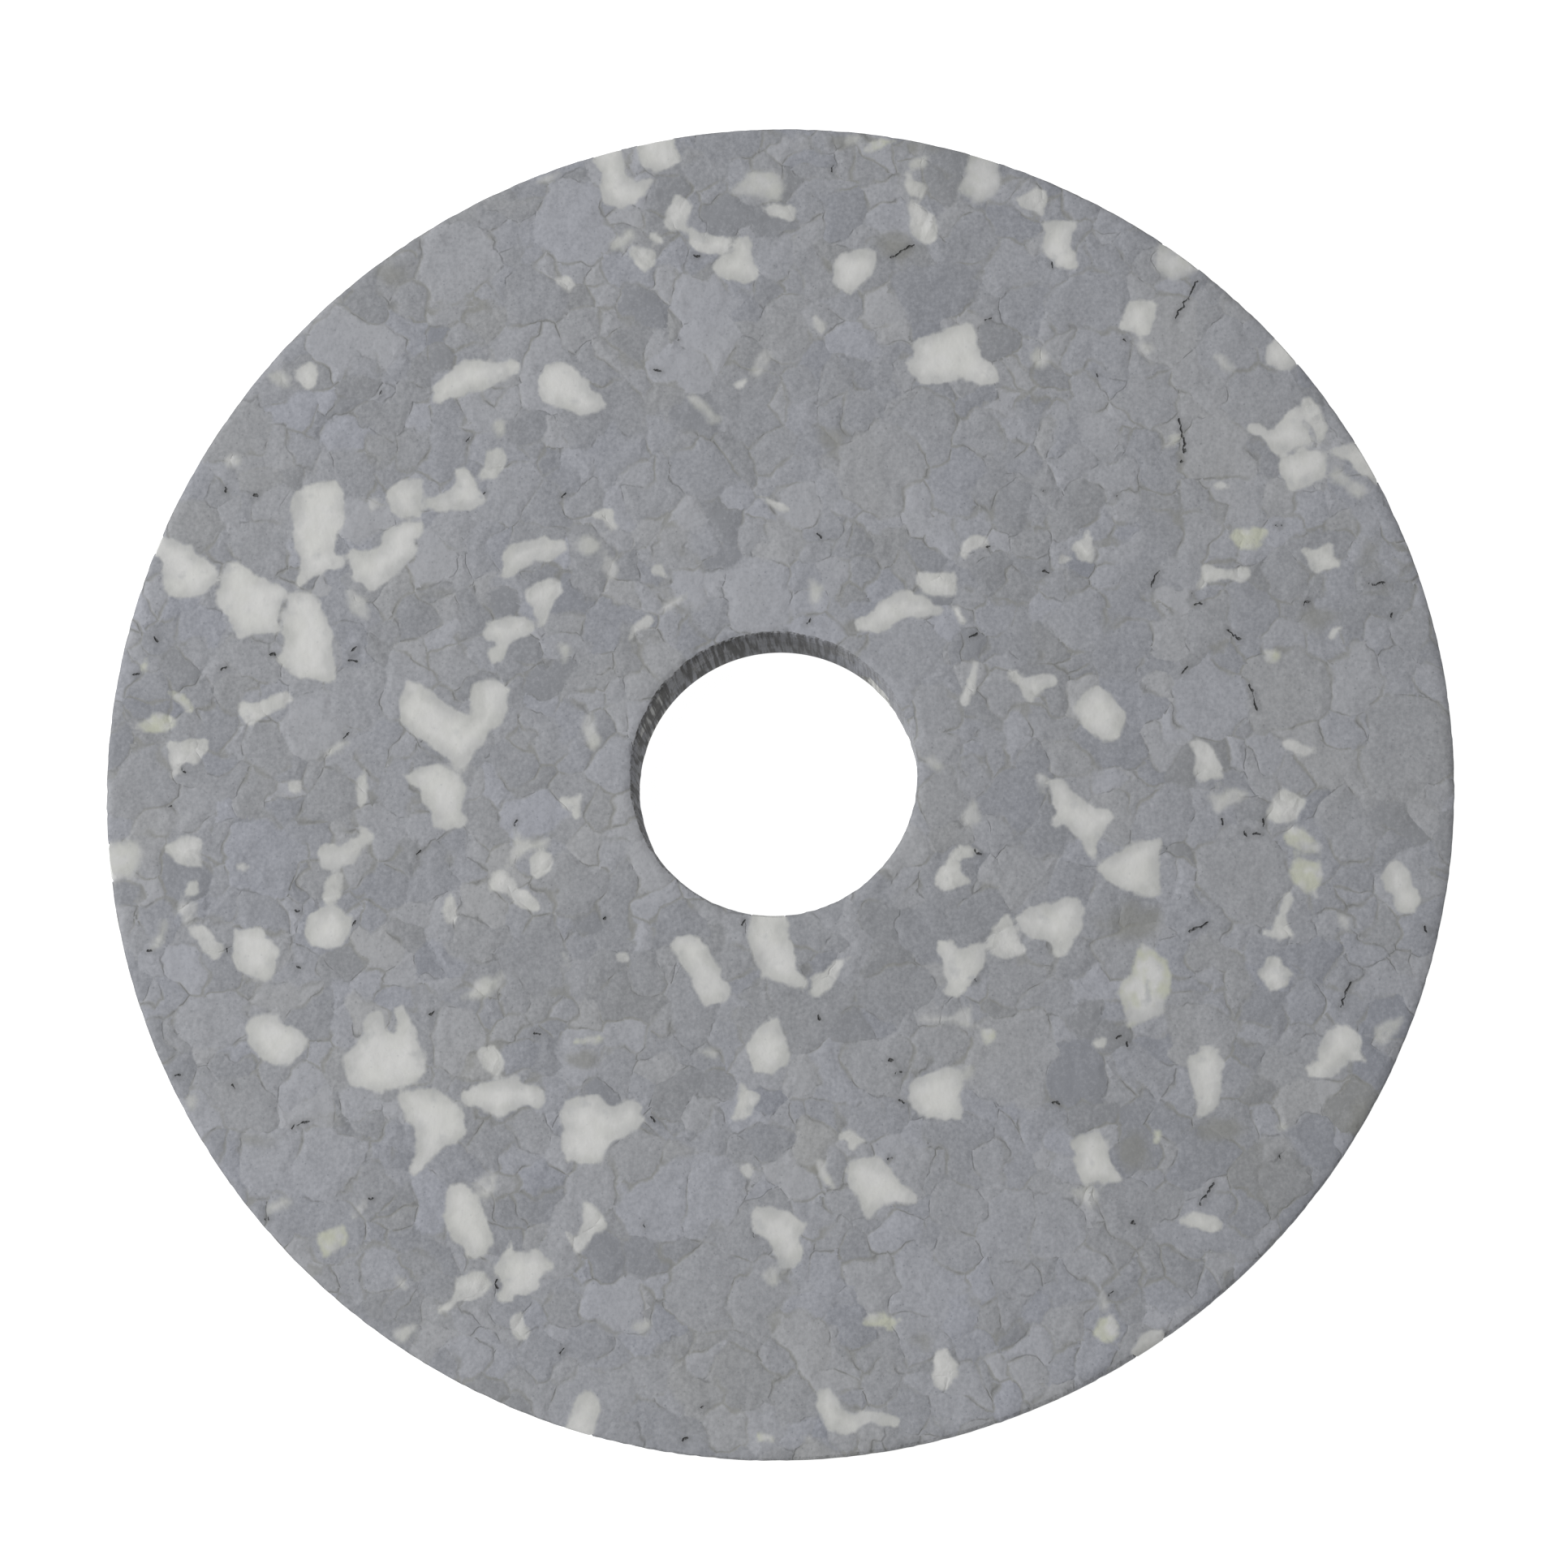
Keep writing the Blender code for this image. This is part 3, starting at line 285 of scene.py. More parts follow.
# Grey crumbs that stand out on the front face: x, y, radius, tone (-1 dark to 1 light) and tint
# (-1 blue to 1 olive).
NOTED_GREY: list[tuple[float, float, float, float, float]] = [
    (-11.0, 47.0, 3.4, 0.9, -0.5), (-7.0, 50.0, 3.6, 0.9, -0.5), (-8.5, 54.5, 3.2, 0.85, -0.5),
    (-23.5, 64.5, 4.4, 0.7, -0.5), (11.5, 35.0, 4.8, 0.3, 0.0), (35.0, 54.0, 4.4, 0.0, -0.4),
    (49.3, 37.5, 3.8, 0.55, 0.0), (47.0, 44.5, 2.5, 0.4, 0.0), (53.5, 43.0, 3.4, 0.1, -0.3),
    (51.5, 48.5, 2.2, 0.2, -0.3), (-2.0, 20.0, 4.2, 0.8, -0.5), (-51.5, 5.5, 3.6, 0.8, -0.2),
    (-14.5, 9.0, 1.8, 0.6, 0.0), (43.5, 16.0, 2.3, 0.6, 0.0), (14.0, -9.0, 2.7, 0.6, 0.0),
    (-17.0, -58.0, 3.2, 0.8, -0.6), (3.5, -34.5, 1.7, 0.6, 0.0), (-5.0, -71.0, 2.0, 0.6, 0.0),
    (11.0, -72.8, 1.4, 0.6, 0.2), (-54.5, -43.5, 4.4, 0.5, -0.4), (-49.5, -43.5, 4.4, 0.5, -0.4),
    (-35.0, -30.0, 3.2, 0.6, 0.0), (26.5, -50.0, 4.2, 0.3, -0.4), (30.5, -50.0, 3.8, 0.3, -0.4),
    (57.0, -36.3, 1.8, 0.5, 0.2), (26.0, -32.0, 5.2, 0.35, 0.0), (-56.0, 55.0, 4.2, 0.6, -0.2),
    (-37.0, 59.0, 4.6, 0.6, -0.2), (7.5, 64.0, 2.8, -0.5, -0.8), (27.0, 63.5, 2.4, -0.4, -0.7),
    (17.0, 39.5, 3.5, 0.0, -0.2), (18.0, 55.5, 4.0, -0.6, -0.5), (41.0, 43.0, 3.3, 0.2, -0.2),
    (-58.0, 25.5, 3.4, 0.1, -0.2), (-58.5, 13.5, 2.7, 0.2, -0.1), (-46.0, 9.0, 3.0, 0.1, -0.2),
    (-57.0, 3.0, 2.5, 0.0, 0.0), (-71.0, -1.0, 4.0, 0.0, -0.2), (-57.0, -9.5, 4.2, 0.2, -0.9),
    (14.0, 13.0, 4.6, 0.2, -0.4), (19.0, -3.5, 3.0, 0.0, 0.0), (47.5, 16.5, 3.0, 0.05, -0.1),
    (57.0, 9.0, 4.4, 0.15, 0.2), (48.5, 8.0, 4.6, 0.5, -0.6), (43.5, -5.0, 3.4, 0.1, -0.5),
    (47.5, -5.5, 3.2, 0.1, -0.5), (28.0, -11.0, 2.7, 0.2, 0.0), (39.0, -20.0, 3.0, 0.1, 0.0),
    (52.0, -11.0, 5.0, 0.1, -0.1), (63.0, -5.5, 3.2, 0.0, 0.0), (70.0, 3.0, 5.0, 0.0, 0.1),
    (-11.5, -47.0, 4.0, 0.5, -0.6), (-7.0, -47.0, 4.0, 0.5, -0.6), (-6.5, -56.0, 4.2, 0.15, -0.2),
    (-2.0, -57.5, 4.0, 0.15, -0.2), (-14.5, -42.5, 3.2, 0.2, 0.0), (12.0, -32.0, 3.5, 0.1, 0.0),
    (18.5, -30.5, 2.8, 0.1, 0.0), (20.5, -48.5, 3.0, 0.1, -0.2), (20.5, -52.0, 3.0, 0.1, -0.2),
    (12.0, -66.5, 2.7, 0.0, -0.2), (2.5, -69.0, 2.5, 0.0, 0.0), (-58.0, -37.5, 3.4, 0.0, 0.0),
    (-15.5, 54.0, 2.6, -0.85, -0.4), (-12.3, 68.0, 2.0, -0.8, -0.2), (2.0, 68.0, 1.4, -0.8, 0.0),
    (18.5, 68.0, 1.8, -0.8, 0.0), (24.0, 49.0, 1.8, -0.75, -0.2), (-9.0, 41.0, 2.4, -0.85, -0.3),
    (-67.8, 12.3, 1.8, -0.7, 0.0), (-49.0, -3.5, 3.5, -0.2, -0.2), (-10.0, -35.3, 2.2, -0.7, 0.0),
    (-6.5, -35.3, 2.0, -0.7, 0.0), (-17.5, -53.0, 2.6, -0.85, -0.4), (-13.5, -53.0, 2.6, -0.85, -0.4),
    (33.5, -33.5, 3.0, -0.95, -0.6), (34.7, -37.7, 2.0, -0.8, -0.2), (35.0, -27.0, 1.9, -0.8, 0.0),
    (52.0, -44.0, 2.2, -0.7, 0.3), (55.0, -44.0, 2.2, -0.7, 0.3), (63.5, -36.0, 2.8, -0.9, 0.7),
    (-38.3, 47.3, 1.5, -0.8, 0.0), (-47.5, 45.0, 1.8, -0.7, 0.0), (-40.5, 47.0, 1.4, -0.6, 0.0),
]

# Places where the olive binder shows as a patch or a streak: x, y, half length along x, half length
# along y, strength.
BINDER_PATCHES: list[tuple[float, float, float, float, float]] = [
    (13.5, 61.0, 2.6, 2.0, 1.0), (6.5, 38.5, 1.8, 1.6, 0.9), (60.0, 17.5, 2.2, 2.2, 0.8),
    (39.5, -16.5, 3.8, 2.4, 0.9), (39.5, -41.5, 1.8, 2.6, 1.0), (49.0, -39.0, 2.4, 1.6, 1.0),
    (-21.0, -31.8, 2.6, 1.2, 0.9), (16.5, -62.0, 2.0, 1.4, 0.7), (4.9, -43.7, 0.7, 0.7, 1.0),
    (-38.5, 20.7, 3.2, 1.0, 0.6), (-56.0, -41.0, 4.5, 1.3, 0.6), (-49.0, -38.4, 3.5, 1.2, 0.6),
    (-44.0, 58.0, 3.4, 2.0, 0.7), (8.8, 16.5, 1.4, 1.2, 0.9), (8.0, 73.3, 4.0, 1.2, 0.7),
    (16.0, 72.5, 4.0, 1.4, 0.7), (66.0, 24.0, 2.0, 3.5, 0.6), (64.0, -38.0, 2.5, 2.5, 0.7),
]

# Cracks and small voids between crumbs: ends of each, in millimetres. A single point gets a short
# crack in a direction of its own.
CRACK_LINES: list[tuple[float, float, float, float]] = [
    (42.7, 22.9, 42.0, 21.0), (50.3, 16.3, 51.8, 15.0), (52.8, 10.0, 53.5, 7.2),
    (45.8, -17.6, 47.8, -16.6), (66.0, 21.3, 68.0, 21.4), (62.2, -25.8, 63.2, -23.0),
    (45.3, 40.5, 46.0, 36.5), (47.5, 56.5, 45.0, 52.0), (12.8, 59.5, 15.5, 61.0),
    (41.0, -23.0, 41.2, -25.0), (-52.8, -39.5, -50.8, -38.7), (46.6, -47.2, 48.2, -44.9),
    (21.8, 15.4, 22.6, 15.8), (46.7, 19.0, 47.5, 19.3), (58.8, 19.2, 59.7, 19.4),
    (23.6, 52.0, 24.3, 52.4), (-48.2, 4.0, -47.6, 4.5), (37.6, -29.4, 38.2, -29.0),
    (6.1, 69.9, 6.3, 70.4), (-9.3, -72.8, -8.7, -72.6), (-24.3, 31.6, -23.9, 32.0),
]
CRACK_POINTS: list[Point] = [
    (46.4, 19.9), (49.6, -5.5), (54.0, -5.5), (53.3, -6.7), (52.0, -6.6),
    (71.5, -17.3), (68.5, 17.8), (56.2, 28.0), (30.3, 22.9), (45.6, 11.6), (38.9, -29.9),
    (55.4, -42.2), (39.4, -49.3), (31.2, -36.3), (37.0, -57.0), (45.5, 35.5), (30.2, 32.2),
    (38.2, 31.5), (39.3, 49.6), (36.1, 45.6), (31.2, 58.6), (-47.4, 12.9),
    (-47.4, 14.2), (-62.1, 12.0), (-72.0, 11.3), (-70.0, 15.4), (-56.5, 13.6), (-52.5, -21.7),
    (-66.3, 0.2), (-67.8, -3.7), (-39.5, -9.0), (-46.5, -16.8), (-52.9, -15.4), (-60.6, -19.8),
    (-69.3, -20.0), (-28.8, -5.6), (4.9, 27.0), (3.7, 17.3), (22.6, -8.8),
    (-18.5, -16.3), (-3.2, -16.7), (23.8, 25.7), (22.0, -22.9), (-37.6, -26.9), (-59.3, -34.9),
    (-65.6, -33.8), (-43.7, -47.2), (-29.8, -56.3), (-55.2, -49.5), (13.0, -31.9), (13.9, -33.1),
    (14.3, -36.2), (13.0, -42.5), (-6.9, -69.2), (-13.6, -49.9), (-1.7, -50.9),
    (-22.6, -63.5), (-25.8, -29.0), (5.2, -27.3), (-12.9, -38.4), (-59.0, 32.0), (-62.5, 32.6),
    (-45.1, 44.0), (-33.2, 32.0), (-35.0, 38.5), (-13.5, 46.3), (-11.4, 50.0),
    (-9.4, 59.9),
]


class Value:
    """A number or colour that flows between shader nodes and takes part in Python arithmetic."""

    def __init__(self, graph: "Graph", socket: bpy.types.NodeSocket) -> None:
        """Hold a socket and the graph that it belongs to."""
        self.graph = graph
        self.socket = socket

    def __add__(self, other: "Term") -> "Value":
        """Add."""
        return self.graph.math("ADD", self, other)

    def __sub__(self, other: "Term") -> "Value":
        """Subtract."""
        return self.graph.math("SUBTRACT", self, other)

    def __rsub__(self, other: "Term") -> "Value":
        """Subtract from a number."""
        return self.graph.math("SUBTRACT", other, self)

    def __mul__(self, other: "Term") -> "Value":
        """Multiply."""
        return self.graph.math("MULTIPLY", self, other)

    def __truediv__(self, other: "Term") -> "Value":
        """Divide."""
        return self.graph.math("DIVIDE", self, other)

    def __abs__(self) -> "Value":
        """Take the size without the sign."""
        return self.graph.math("ABSOLUTE", self)

    __radd__ = __add__
    __rmul__ = __mul__


Term = Union[Value, float]


class Graph:
    """The nodes of one material."""

    def __init__(self, name: str) -> None:
        """Start a material with nothing but its output."""
        self.material = bpy.data.materials.new(name)
        self.material.use_nodes = True
        self.tree = self.material.node_tree
        self.tree.nodes.clear()

    def node(self, kind: str, settings: dict[str, Any], inputs: dict[Any, Any]) -> bpy.types.Node:
        """Add a node.

        Args:
            kind: The node's Blender type.
            settings: Its properties, which are set before its sockets are filled.
            inputs: A number, colour or Value for each socket, by name or by place.

        Returns:
            The new node.
        """
        made = self.tree.nodes.new(kind)
        for key, setting in settings.items():
            setattr(made, key, setting)
        for key, term in inputs.items():
            if isinstance(term, Value):
                self.tree.links.new(term.socket, made.inputs[key])
            else:
                made.inputs[key].default_value = term
        return made

    def output(self, made: bpy.types.Node, key: Union[int, str] = 0) -> Value:
        """Return one of a node's outputs as a Value."""
        return Value(self, made.outputs[key])

    def math(self, operation: str, first: Term, second: Term = 0.0, third: Term = 0.0) -> Value:
        """Return a Math node's result."""
        inputs = {0: first, 1: second, 2: third}
        return self.output(self.node("ShaderNodeMath", {"operation": operation}, inputs))

    def smooth(self, term: Value, low: Term, high: Term) -> Value:
        """Return 0 below one limit and 1 above the other, with a smooth step between."""
        inputs = {"Value": term, "From Min": low, "From Max": high}
        settings = {"interpolation_type": "SMOOTHSTEP"}
        return self.output(self.node("ShaderNodeMapRange", settings, inputs))

    def mix(self, factor: Term, first: Union[Value, Colour], second: Union[Value, Colour]) -> Value:
        """Return a colour between two colours."""
        inputs = {0: factor, 6: as_rgba(first), 7: as_rgba(second)}
        return self.output(self.node("ShaderNodeMix", {"data_type": "RGBA"}, inputs), 2)

    def attribute(self, name: str) -> tuple[Value, Value, Value]:
        """Return the three numbers that the mesh keeps under a name."""
        stored = self.node("ShaderNodeAttribute", {"attribute_name": name}, {})
        parts = self.node("ShaderNodeSeparateXYZ", {}, {0: self.output(stored, "Vector")})
        return self.output(parts, 0), self.output(parts, 1), self.output(parts, 2)

    def place(self, stretch: tuple[float, float, float] = (1.0, 1.0, 1.0)) -> Value:
        """Return the place on the object in mm, with each axis multiplied by a number."""
        here = self.output(self.node("ShaderNodeTexCoord", {}, {}), "Object")
        scale = tuple(each / MM for each in stretch)
        inputs = {0: here, 1: scale}
        return self.output(self.node("ShaderNodeVectorMath", {"operation": "MULTIPLY"}, inputs))

    def cloud(self, where: Value, size: float, detail: float = 2.0, seed: float = 0.0) -> Value:
        """Return smooth noise from 0 to 1 whose lumps are about size mm apart."""
        settings = {"noise_dimensions": "4D"}
        inputs = {"Vector": where, "W": seed, "Scale": 1.0 / size, "Detail": detail}
        return self.output(self.node("ShaderNodeTexNoise", settings, inputs))

    def cells(self, where: Value, size: float) -> Value:
        """Return the distance to the middle of the nearest foam cell, in cell widths."""
        inputs = {"Vector": where, "Scale": 1.0 / size}
        return self.output(self.node("ShaderNodeTexVoronoi", {}, inputs), "Distance")

    def finish(self, base: Value, height: Value, roughness: Term) -> bpy.types.Material:
        """Close the graph with a matte foam shader.

        Args:
            base: The colour.
            height: The relief in mm, which only tilts the shading.
            roughness: The roughness.

        Returns:
            The finished material.
        """
        inputs = {"Height": height, "Distance": MM, "Strength": 1.0}
        bump = self.output(self.node("ShaderNodeBump", {}, inputs))
        inputs = {"Base Color": base, "Roughness": roughness, "Normal": bump,
                  "Specular IOR Level": 0.12}
        shader = self.output(self.node("ShaderNodeBsdfPrincipled", {}, inputs))
        self.node("ShaderNodeOutputMaterial", {}, {"Surface": shader})
        return self.material


def as_rgba(term: Union[Value, Colour]) -> Union[Value, tuple[float, float, float, float]]:
    """Give a plain colour its fourth number, and leave a Value as it is."""
    return term if isinstance(term, Value) else (*term, 1.0)


@dataclass(frozen=True)
class WhiteFoam:
    """Colours of the white foam, shared by the separate crumbs and the small ones in the body."""

    bright: Colour = (0.566, 0.566, 0.556)
    dull: Colour = (0.420, 0.424, 0.420)
    yellowed: Colour = (0.445, 0.457, 0.370)
    # Grey of the smudges and pores, also used as painted shade in cracks.
    smudge_and_shade: Colour = (0.37, 0.38, 0.39)

    def colour(self, graph: Graph, inside: Term, warmth: Term) -> Value:
        """Return the mottled white of one crumb, brightest in its middle.

        Args:
            graph: The material's nodes.
            inside: The distance inside the crumb's outline, in mm.
            warmth: How yellow the crumb is, from 0 to 1.

        Returns:
            The colour.
        """
        where = graph.place()
        uneven = (graph.cloud(where, 3.0, 3.0, 1.5) - 0.5) * 3.6
        patchy = graph.smooth(uneven + inside, -0.5, 1.9)
        base = graph.mix(patchy, self.dull, self.bright)
        yellow = graph.smooth(graph.cloud(where, 2.6, 2.0, 4.0), 0.40, 0.62) * warmth
        base = graph.mix(yellow, base, self.yellowed)
        smudged = graph.smooth(graph.cloud(where, 1.9, 4.0, 8.0), 0.58, 0.76) * 0.45
        base = graph.mix(smudged, base, self.smudge_and_shade)
        pores = (1.0 - graph.smooth(graph.cells(where, 1.3), 0.05, 0.12)) * 0.3
        return graph.mix(pores, base, self.smudge_and_shade)

    def shown(self, graph: Graph, inside: Value, softness: Value, strength: Value) -> Value:
        """Return how much of the white shows at a distance inside a crumb's outline."""
        where = graph.place()
        fringe = (graph.cloud(where, 1.5, 5.0, 33.0) - 0.5) * 1.45
        return graph.smooth(inside + fringe, softness * -1.0, softness) * strength

    def material(self) -> bpy.types.Material:
        """Return the finish of the separate white crumbs."""
        graph = Graph("white_foam")
        inside, softness, crack = graph.attribute("edge")
        tone, strength, warmth = graph.attribute("look")
        where = graph.place()
        grey = GreyFoam().grey(graph, where, tone, -0.25)
        shown = self.shown(graph, inside, softness, strength)
        base = graph.mix(shown, grey, self.colour(graph, inside, warmth))
        # Cracks that cross the crumb are darkened with the smudge grey: painted shade.
        jagged = (graph.cloud(where, 1.0, 3.0, 34.0) - 0.5) * 0.9
        shaded_split = 1.0 - graph.smooth(crack + jagged, 0.0, 0.42)
        base = graph.mix(shaded_split * 0.75, base, self.smudge_and_shade)
        height = graph.cloud(where, 3.2, 5.0, 42.0) * 0.22
        return graph.finish(base, height, 0.95)


@dataclass(frozen=True)
class GreyFoam:
    """Finish of the body: grey crumbs, their binder seams, cracks and small white crumbs."""

    dark_blue: Colour = (0.226, 0.235, 0.262)
    light_blue: Colour = (0.336, 0.345, 0.380)
    dark_olive: Colour = (0.238, 0.241, 0.240)
    light_olive: Colour = (0.344, 0.346, 0.344)
    tan: Colour = (0.225, 0.225, 0.207)
    seam_shadow: Colour = (0.165, 0.168, 0.172)
    # Near black: painted shade inside cracks and voids between crumbs.
    crack: Colour = (0.050, 0.050, 0.048)
    # Dark colour of the cut walls: their streaks, and painted shade on the side of the bore that faces away
    # from the key light.
    wall_streak_and_shade: Colour = (0.092, 0.091, 0.089)

    def grey(self, graph: Graph, where: Value, tone: Term, tint: Term) -> Value:
        """Return a mottled grey.

        Args:
            graph: The material's nodes.
            where: The place in mm.
            tone: From -1, dark, to 1, light.
            tint: From -1, bluish, to 1, olive.

        Returns:
            The colour.
        """
        mottle = (graph.cloud(where, 2.4, 5.0, 11.0) - 0.5) * 1.0
        grain = (graph.cloud(where, 0.40, 2.0, 12.0) - 0.5) * 3.1
        pores = (1.0 - graph.smooth(graph.cells(where, 0.85), 0.06, 0.17)) * -1.1
        level = (mottle + grain + pores + tone) * 0.5 + 0.5
        blue = graph.mix(level, self.dark_blue, self.light_blue)
        olive = graph.mix(level, self.dark_olive, self.light_olive)
        drift = (graph.cloud(where, 14.0, 2.0, 13.0) - 0.5) * 1.2
        return graph.mix((drift + tint) * 0.5 + 0.5, blue, olive)

    def crumb_colour(self, graph: Graph, where: Value, border: Value) -> Value:
        """Return the grey of the crumbs on both sides of a border."""
        tone_a, tint_a, white_a = graph.attribute("crumb_a")
        tone_b, tint_b, white_b = graph.attribute("crumb_b")
        blur = graph.smooth(graph.cloud(where, 5.0, 2.0, 5.0), 0.35, 0.65) * 1.1 + 0.12
        side = graph.smooth(border, blur * -0.5, blur * 0.5)
        tone = tone_b + (tone_a - tone_b) * side
        tint = tint_b + (tint_a - tint_b) * side
        white = white_b + (white_a - white_b) * side
        base = self.grey(graph, where, tone, tint)
        return graph.mix(white, base, WhiteFoam().colour(graph, 1.0, 0.15))

    def with_seams(self, graph: Graph, where: Value, base: Value, border: Value) -> tuple[Value, Value]:
        """Lay the binder and its shadow along the borders.

        Returns:
            The new colour, and the seams' depth from 0 to 1.
        """
        away = abs(border)
        width = graph.cloud(where, 1.3, 3.0, 21.0) * 0.52
        shown = graph.smooth(graph.cloud(where, 4.5, 4.0, 22.0), 0.42, 0.62)
        binder = (1.0 - graph.smooth(away, width * 0.1, width * 1.5)) * shown
        base = graph.mix(binder * 0.6, base, self.tan)
        shadowed = graph.smooth(graph.cloud(where, 2.2, 3.0, 23.0), 0.50, 0.64)
        groove = (1.0 - graph.smooth(away, 0.0, 0.19)) * shadowed
        base = graph.mix(groove * 0.55, base, self.seam_shadow)
        return base, graph.math("MAXIMUM", binder * 0.4, groove)

    def material(self) -> bpy.types.Material:
        """Return the finish of the body."""
        graph = Graph("grey_foam")
        where = graph.place()
        border, chip, crack = graph.attribute("field")
        softness, strength, warmth = graph.attribute("chip_look")
        binder, wall, _ = graph.attribute("patch")
        ragged = (graph.cloud(where, 1.8, 4.0, 31.0) - 0.5) * 1.1
        border = border + ragged
        base = self.crumb_colour(graph, where, border)
        base, seam = self.with_seams(graph, where, base, border)

        lumps = graph.cloud(where, 2.2, 4.0, 32.0)
        patch = graph.smooth(binder + (lumps - 0.5) * 1.1, 0.25, 0.85) * 0.6
        base = graph.mix(patch, base, self.tan)

        shown = WhiteFoam().shown(graph, chip, softness, strength)
        base = graph.mix(shown, base, WhiteFoam().colour(graph, chip, warmth))

        # Cracks and voids: painted shade, a soft darkening around each crack and near black inside it, with
        # a dent in the relief.
        jagged = (graph.cloud(where, 0.5, 3.0, 34.0) - 0.5) * 0.42
        crack_shade = 1.0 - graph.smooth(crack + jagged * 2.0, 0.0, 0.85)
        base = graph.mix(crack_shade * 0.45, base, self.seam_shadow)
        broken = graph.smooth(graph.cloud(where, 0.9, 2.0, 35.0), 0.34, 0.50)
        shaded_split = (1.0 - graph.smooth(crack + jagged, -0.04, 0.14)) * broken
        base = graph.mix(shaded_split * 0.85, base, self.crack)

        # The cut walls darken along streaks, by the wall share stored in the mesh. On the bore that share
        # is greatest on the side facing away from the key light: painted shade there, on top of the walls'
        # own streaked darkening.
        striped = graph.place((1.0, 1.0, 0.05))
        stripes = graph.cloud(striped, 0.42, 3.0, 41.0)
        streaked = graph.smooth(stripes, 0.42, 0.58) * 0.62 + 0.32
        base = graph.mix(streaked * wall, base, self.wall_streak_and_shade)

        rise = graph.smooth(abs(border), -0.2, 1.5)
        swell = graph.smooth(graph.cloud(where, 5.0, 2.0, 43.0), 0.35, 0.62) * 0.085 + 0.015
        height = graph.cloud(where, 3.2, 4.0, 42.0) * 0.27 + rise * swell
        height = height + graph.cloud(where, 0.5, 2.0, 44.0) * 0.02 - seam * 0.03 - shaded_split * 0.3
        return graph.finish(base, height + stripes * wall * 0.3, 0.96)


@dataclass(frozen=True)
class WheelSizes:
    """Sizes of the wheel in mm, read from the CAD model's box and the body's bore."""

    radius: float
    bore: float
    thickness: float
    rim_wear: float = 0.2
    bore_wear: float = 0.26

    @staticmethod
    def from_frame() -> "WheelSizes":
        """Measure the body's CAD node."""
        low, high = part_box("crumb_body")
        corners = np.array([v.co[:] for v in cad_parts["crumb_body"].data.vertices]) / MM
        reach = np.hypot(corners[:, 0], corners[:, 1])
        return WheelSizes((high[0] - low[0]) / 2 / MM, float(reach.min()), (high[2] - low[2]) / MM)


def wobble(x: float, y: float, size: float, seed: float) -> float:
    """Return smooth noise from about -1 to 1 whose lumps are about size mm apart."""
    return noise.noise(Vector((x / size, y / size, seed)))


def signed_distance(points: np.ndarray, loop: np.ndarray) -> np.ndarray:
    """Return the distance from each point to a closed outline, positive inside it.

    Args:
        points: Points, as an (n, 2) array.
        loop: The outline's corners, as an (m, 2) array.

    Returns:
        One distance for each point.
    """
    ends = np.roll(loop, -1, axis=0)
    along = ends - loop
    offset = points[:, None, :] - loop[None]
    share = (offset * along).sum(2) / np.maximum((along * along).sum(1), 1e-9)
    gap = offset - np.clip(share, 0.0, 1.0)[..., None] * along
    distance = np.sqrt((gap * gap).sum(2)).min(1)
    above = points[:, None, 1] < loop[None, :, 1]
    above_end = points[:, None, 1] < ends[None, :, 1]
    rise = np.where(np.abs(along[:, 1]) < 1e-12, 1e-12, along[:, 1])
    crossing = loop[:, 0] + (points[:, None, 1] - loop[:, 1]) * along[:, 0] / rise
    crossed = (above != above_end) & (points[:, None, 0] < crossing)
    return np.where(crossed.sum(1) % 2 == 1, distance, -distance)


def resampled(corners: np.ndarray, step: float) -> np.ndarray:
    """Cut an outline's corners off a little and put points along it, step mm apart."""
    following = np.roll(corners, -1, axis=0)
    cut = np.stack([corners * 0.82 + following * 0.18, corners * 0.18 + following * 0.82], 1)
    cut = cut.reshape(-1, 2)
    points: list[np.ndarray] = []
    for start, end in zip(cut, np.roll(cut, -1, axis=0)):
        count = max(1, round(float(np.hypot(*(end - start))) / step))
        points.extend(start + (end - start) * index / count for index in range(count))
    return np.array(points)


def roughened(loop: np.ndarray, amount: float, size: float, seed: float) -> np.ndarray:
    """Shift each point of an outline by smooth noise."""
    shift = [(wobble(x, y, size, seed), wobble(x, y, size, seed + 9.0)) for x, y in loop]
    fine = [(wobble(x, y, size / 3, seed), wobble(x, y, size / 3, seed + 9.0)) for x, y in loop]
    return loop + np.array(shift) * amount + np.array(fine) * amount * 0.6


def top_loop(item: bpy.types.Object, top: float) -> np.ndarray:
    """Return the outline of a CAD crumb's flat top face.

    Args:
        item: The CAD node.
        top: The height of its top face in mm.

    Returns:
        The corners in order, in mm.
    """
    mesh = item.data
    keys = [tuple(round(each / MM, 3) for each in v.co) for v in mesh.vertices]
    follows: dict[Point, Point] = {}
    edges: set[tuple[Point, Point]] = set()
    for face in mesh.polygons:
        ring = [keys[index] for index in face.vertices]
        if min(corner[2] for corner in ring) > top - 0.01:
            flat = [corner[:2] for corner in ring]
            edges.update(zip(flat, flat[1:] + flat[:1]))
    for start, end in edges:
        if (end, start) not in edges:
            follows[start] = end
    loop = [next(iter(sorted(follows)))]
    while follows[loop[-1]] != loop[0] and len(loop) <= len(follows):
        loop.append(follows[loop[-1]])
    return np.array(loop)


@dataclass
class WhitePatch:
    """One white crumb that shows in the front face."""

    loop: np.ndarray
    edge: Edge
    node: str = ""
    depth: float = 0.0

    @property
    def is_piece(self) -> bool:
        """Say whether the crumb is a separate piece."""
        return bool(self.node)

    def near(self, points: np.ndarray, margin: float) -> np.ndarray:
        """Return which points lie in the outline's box, grown by a margin."""
        low, high = self.loop.min(0) - margin, self.loop.max(0) + margin
        return np.nonzero(((points > low) & (points < high)).all(1))[0]


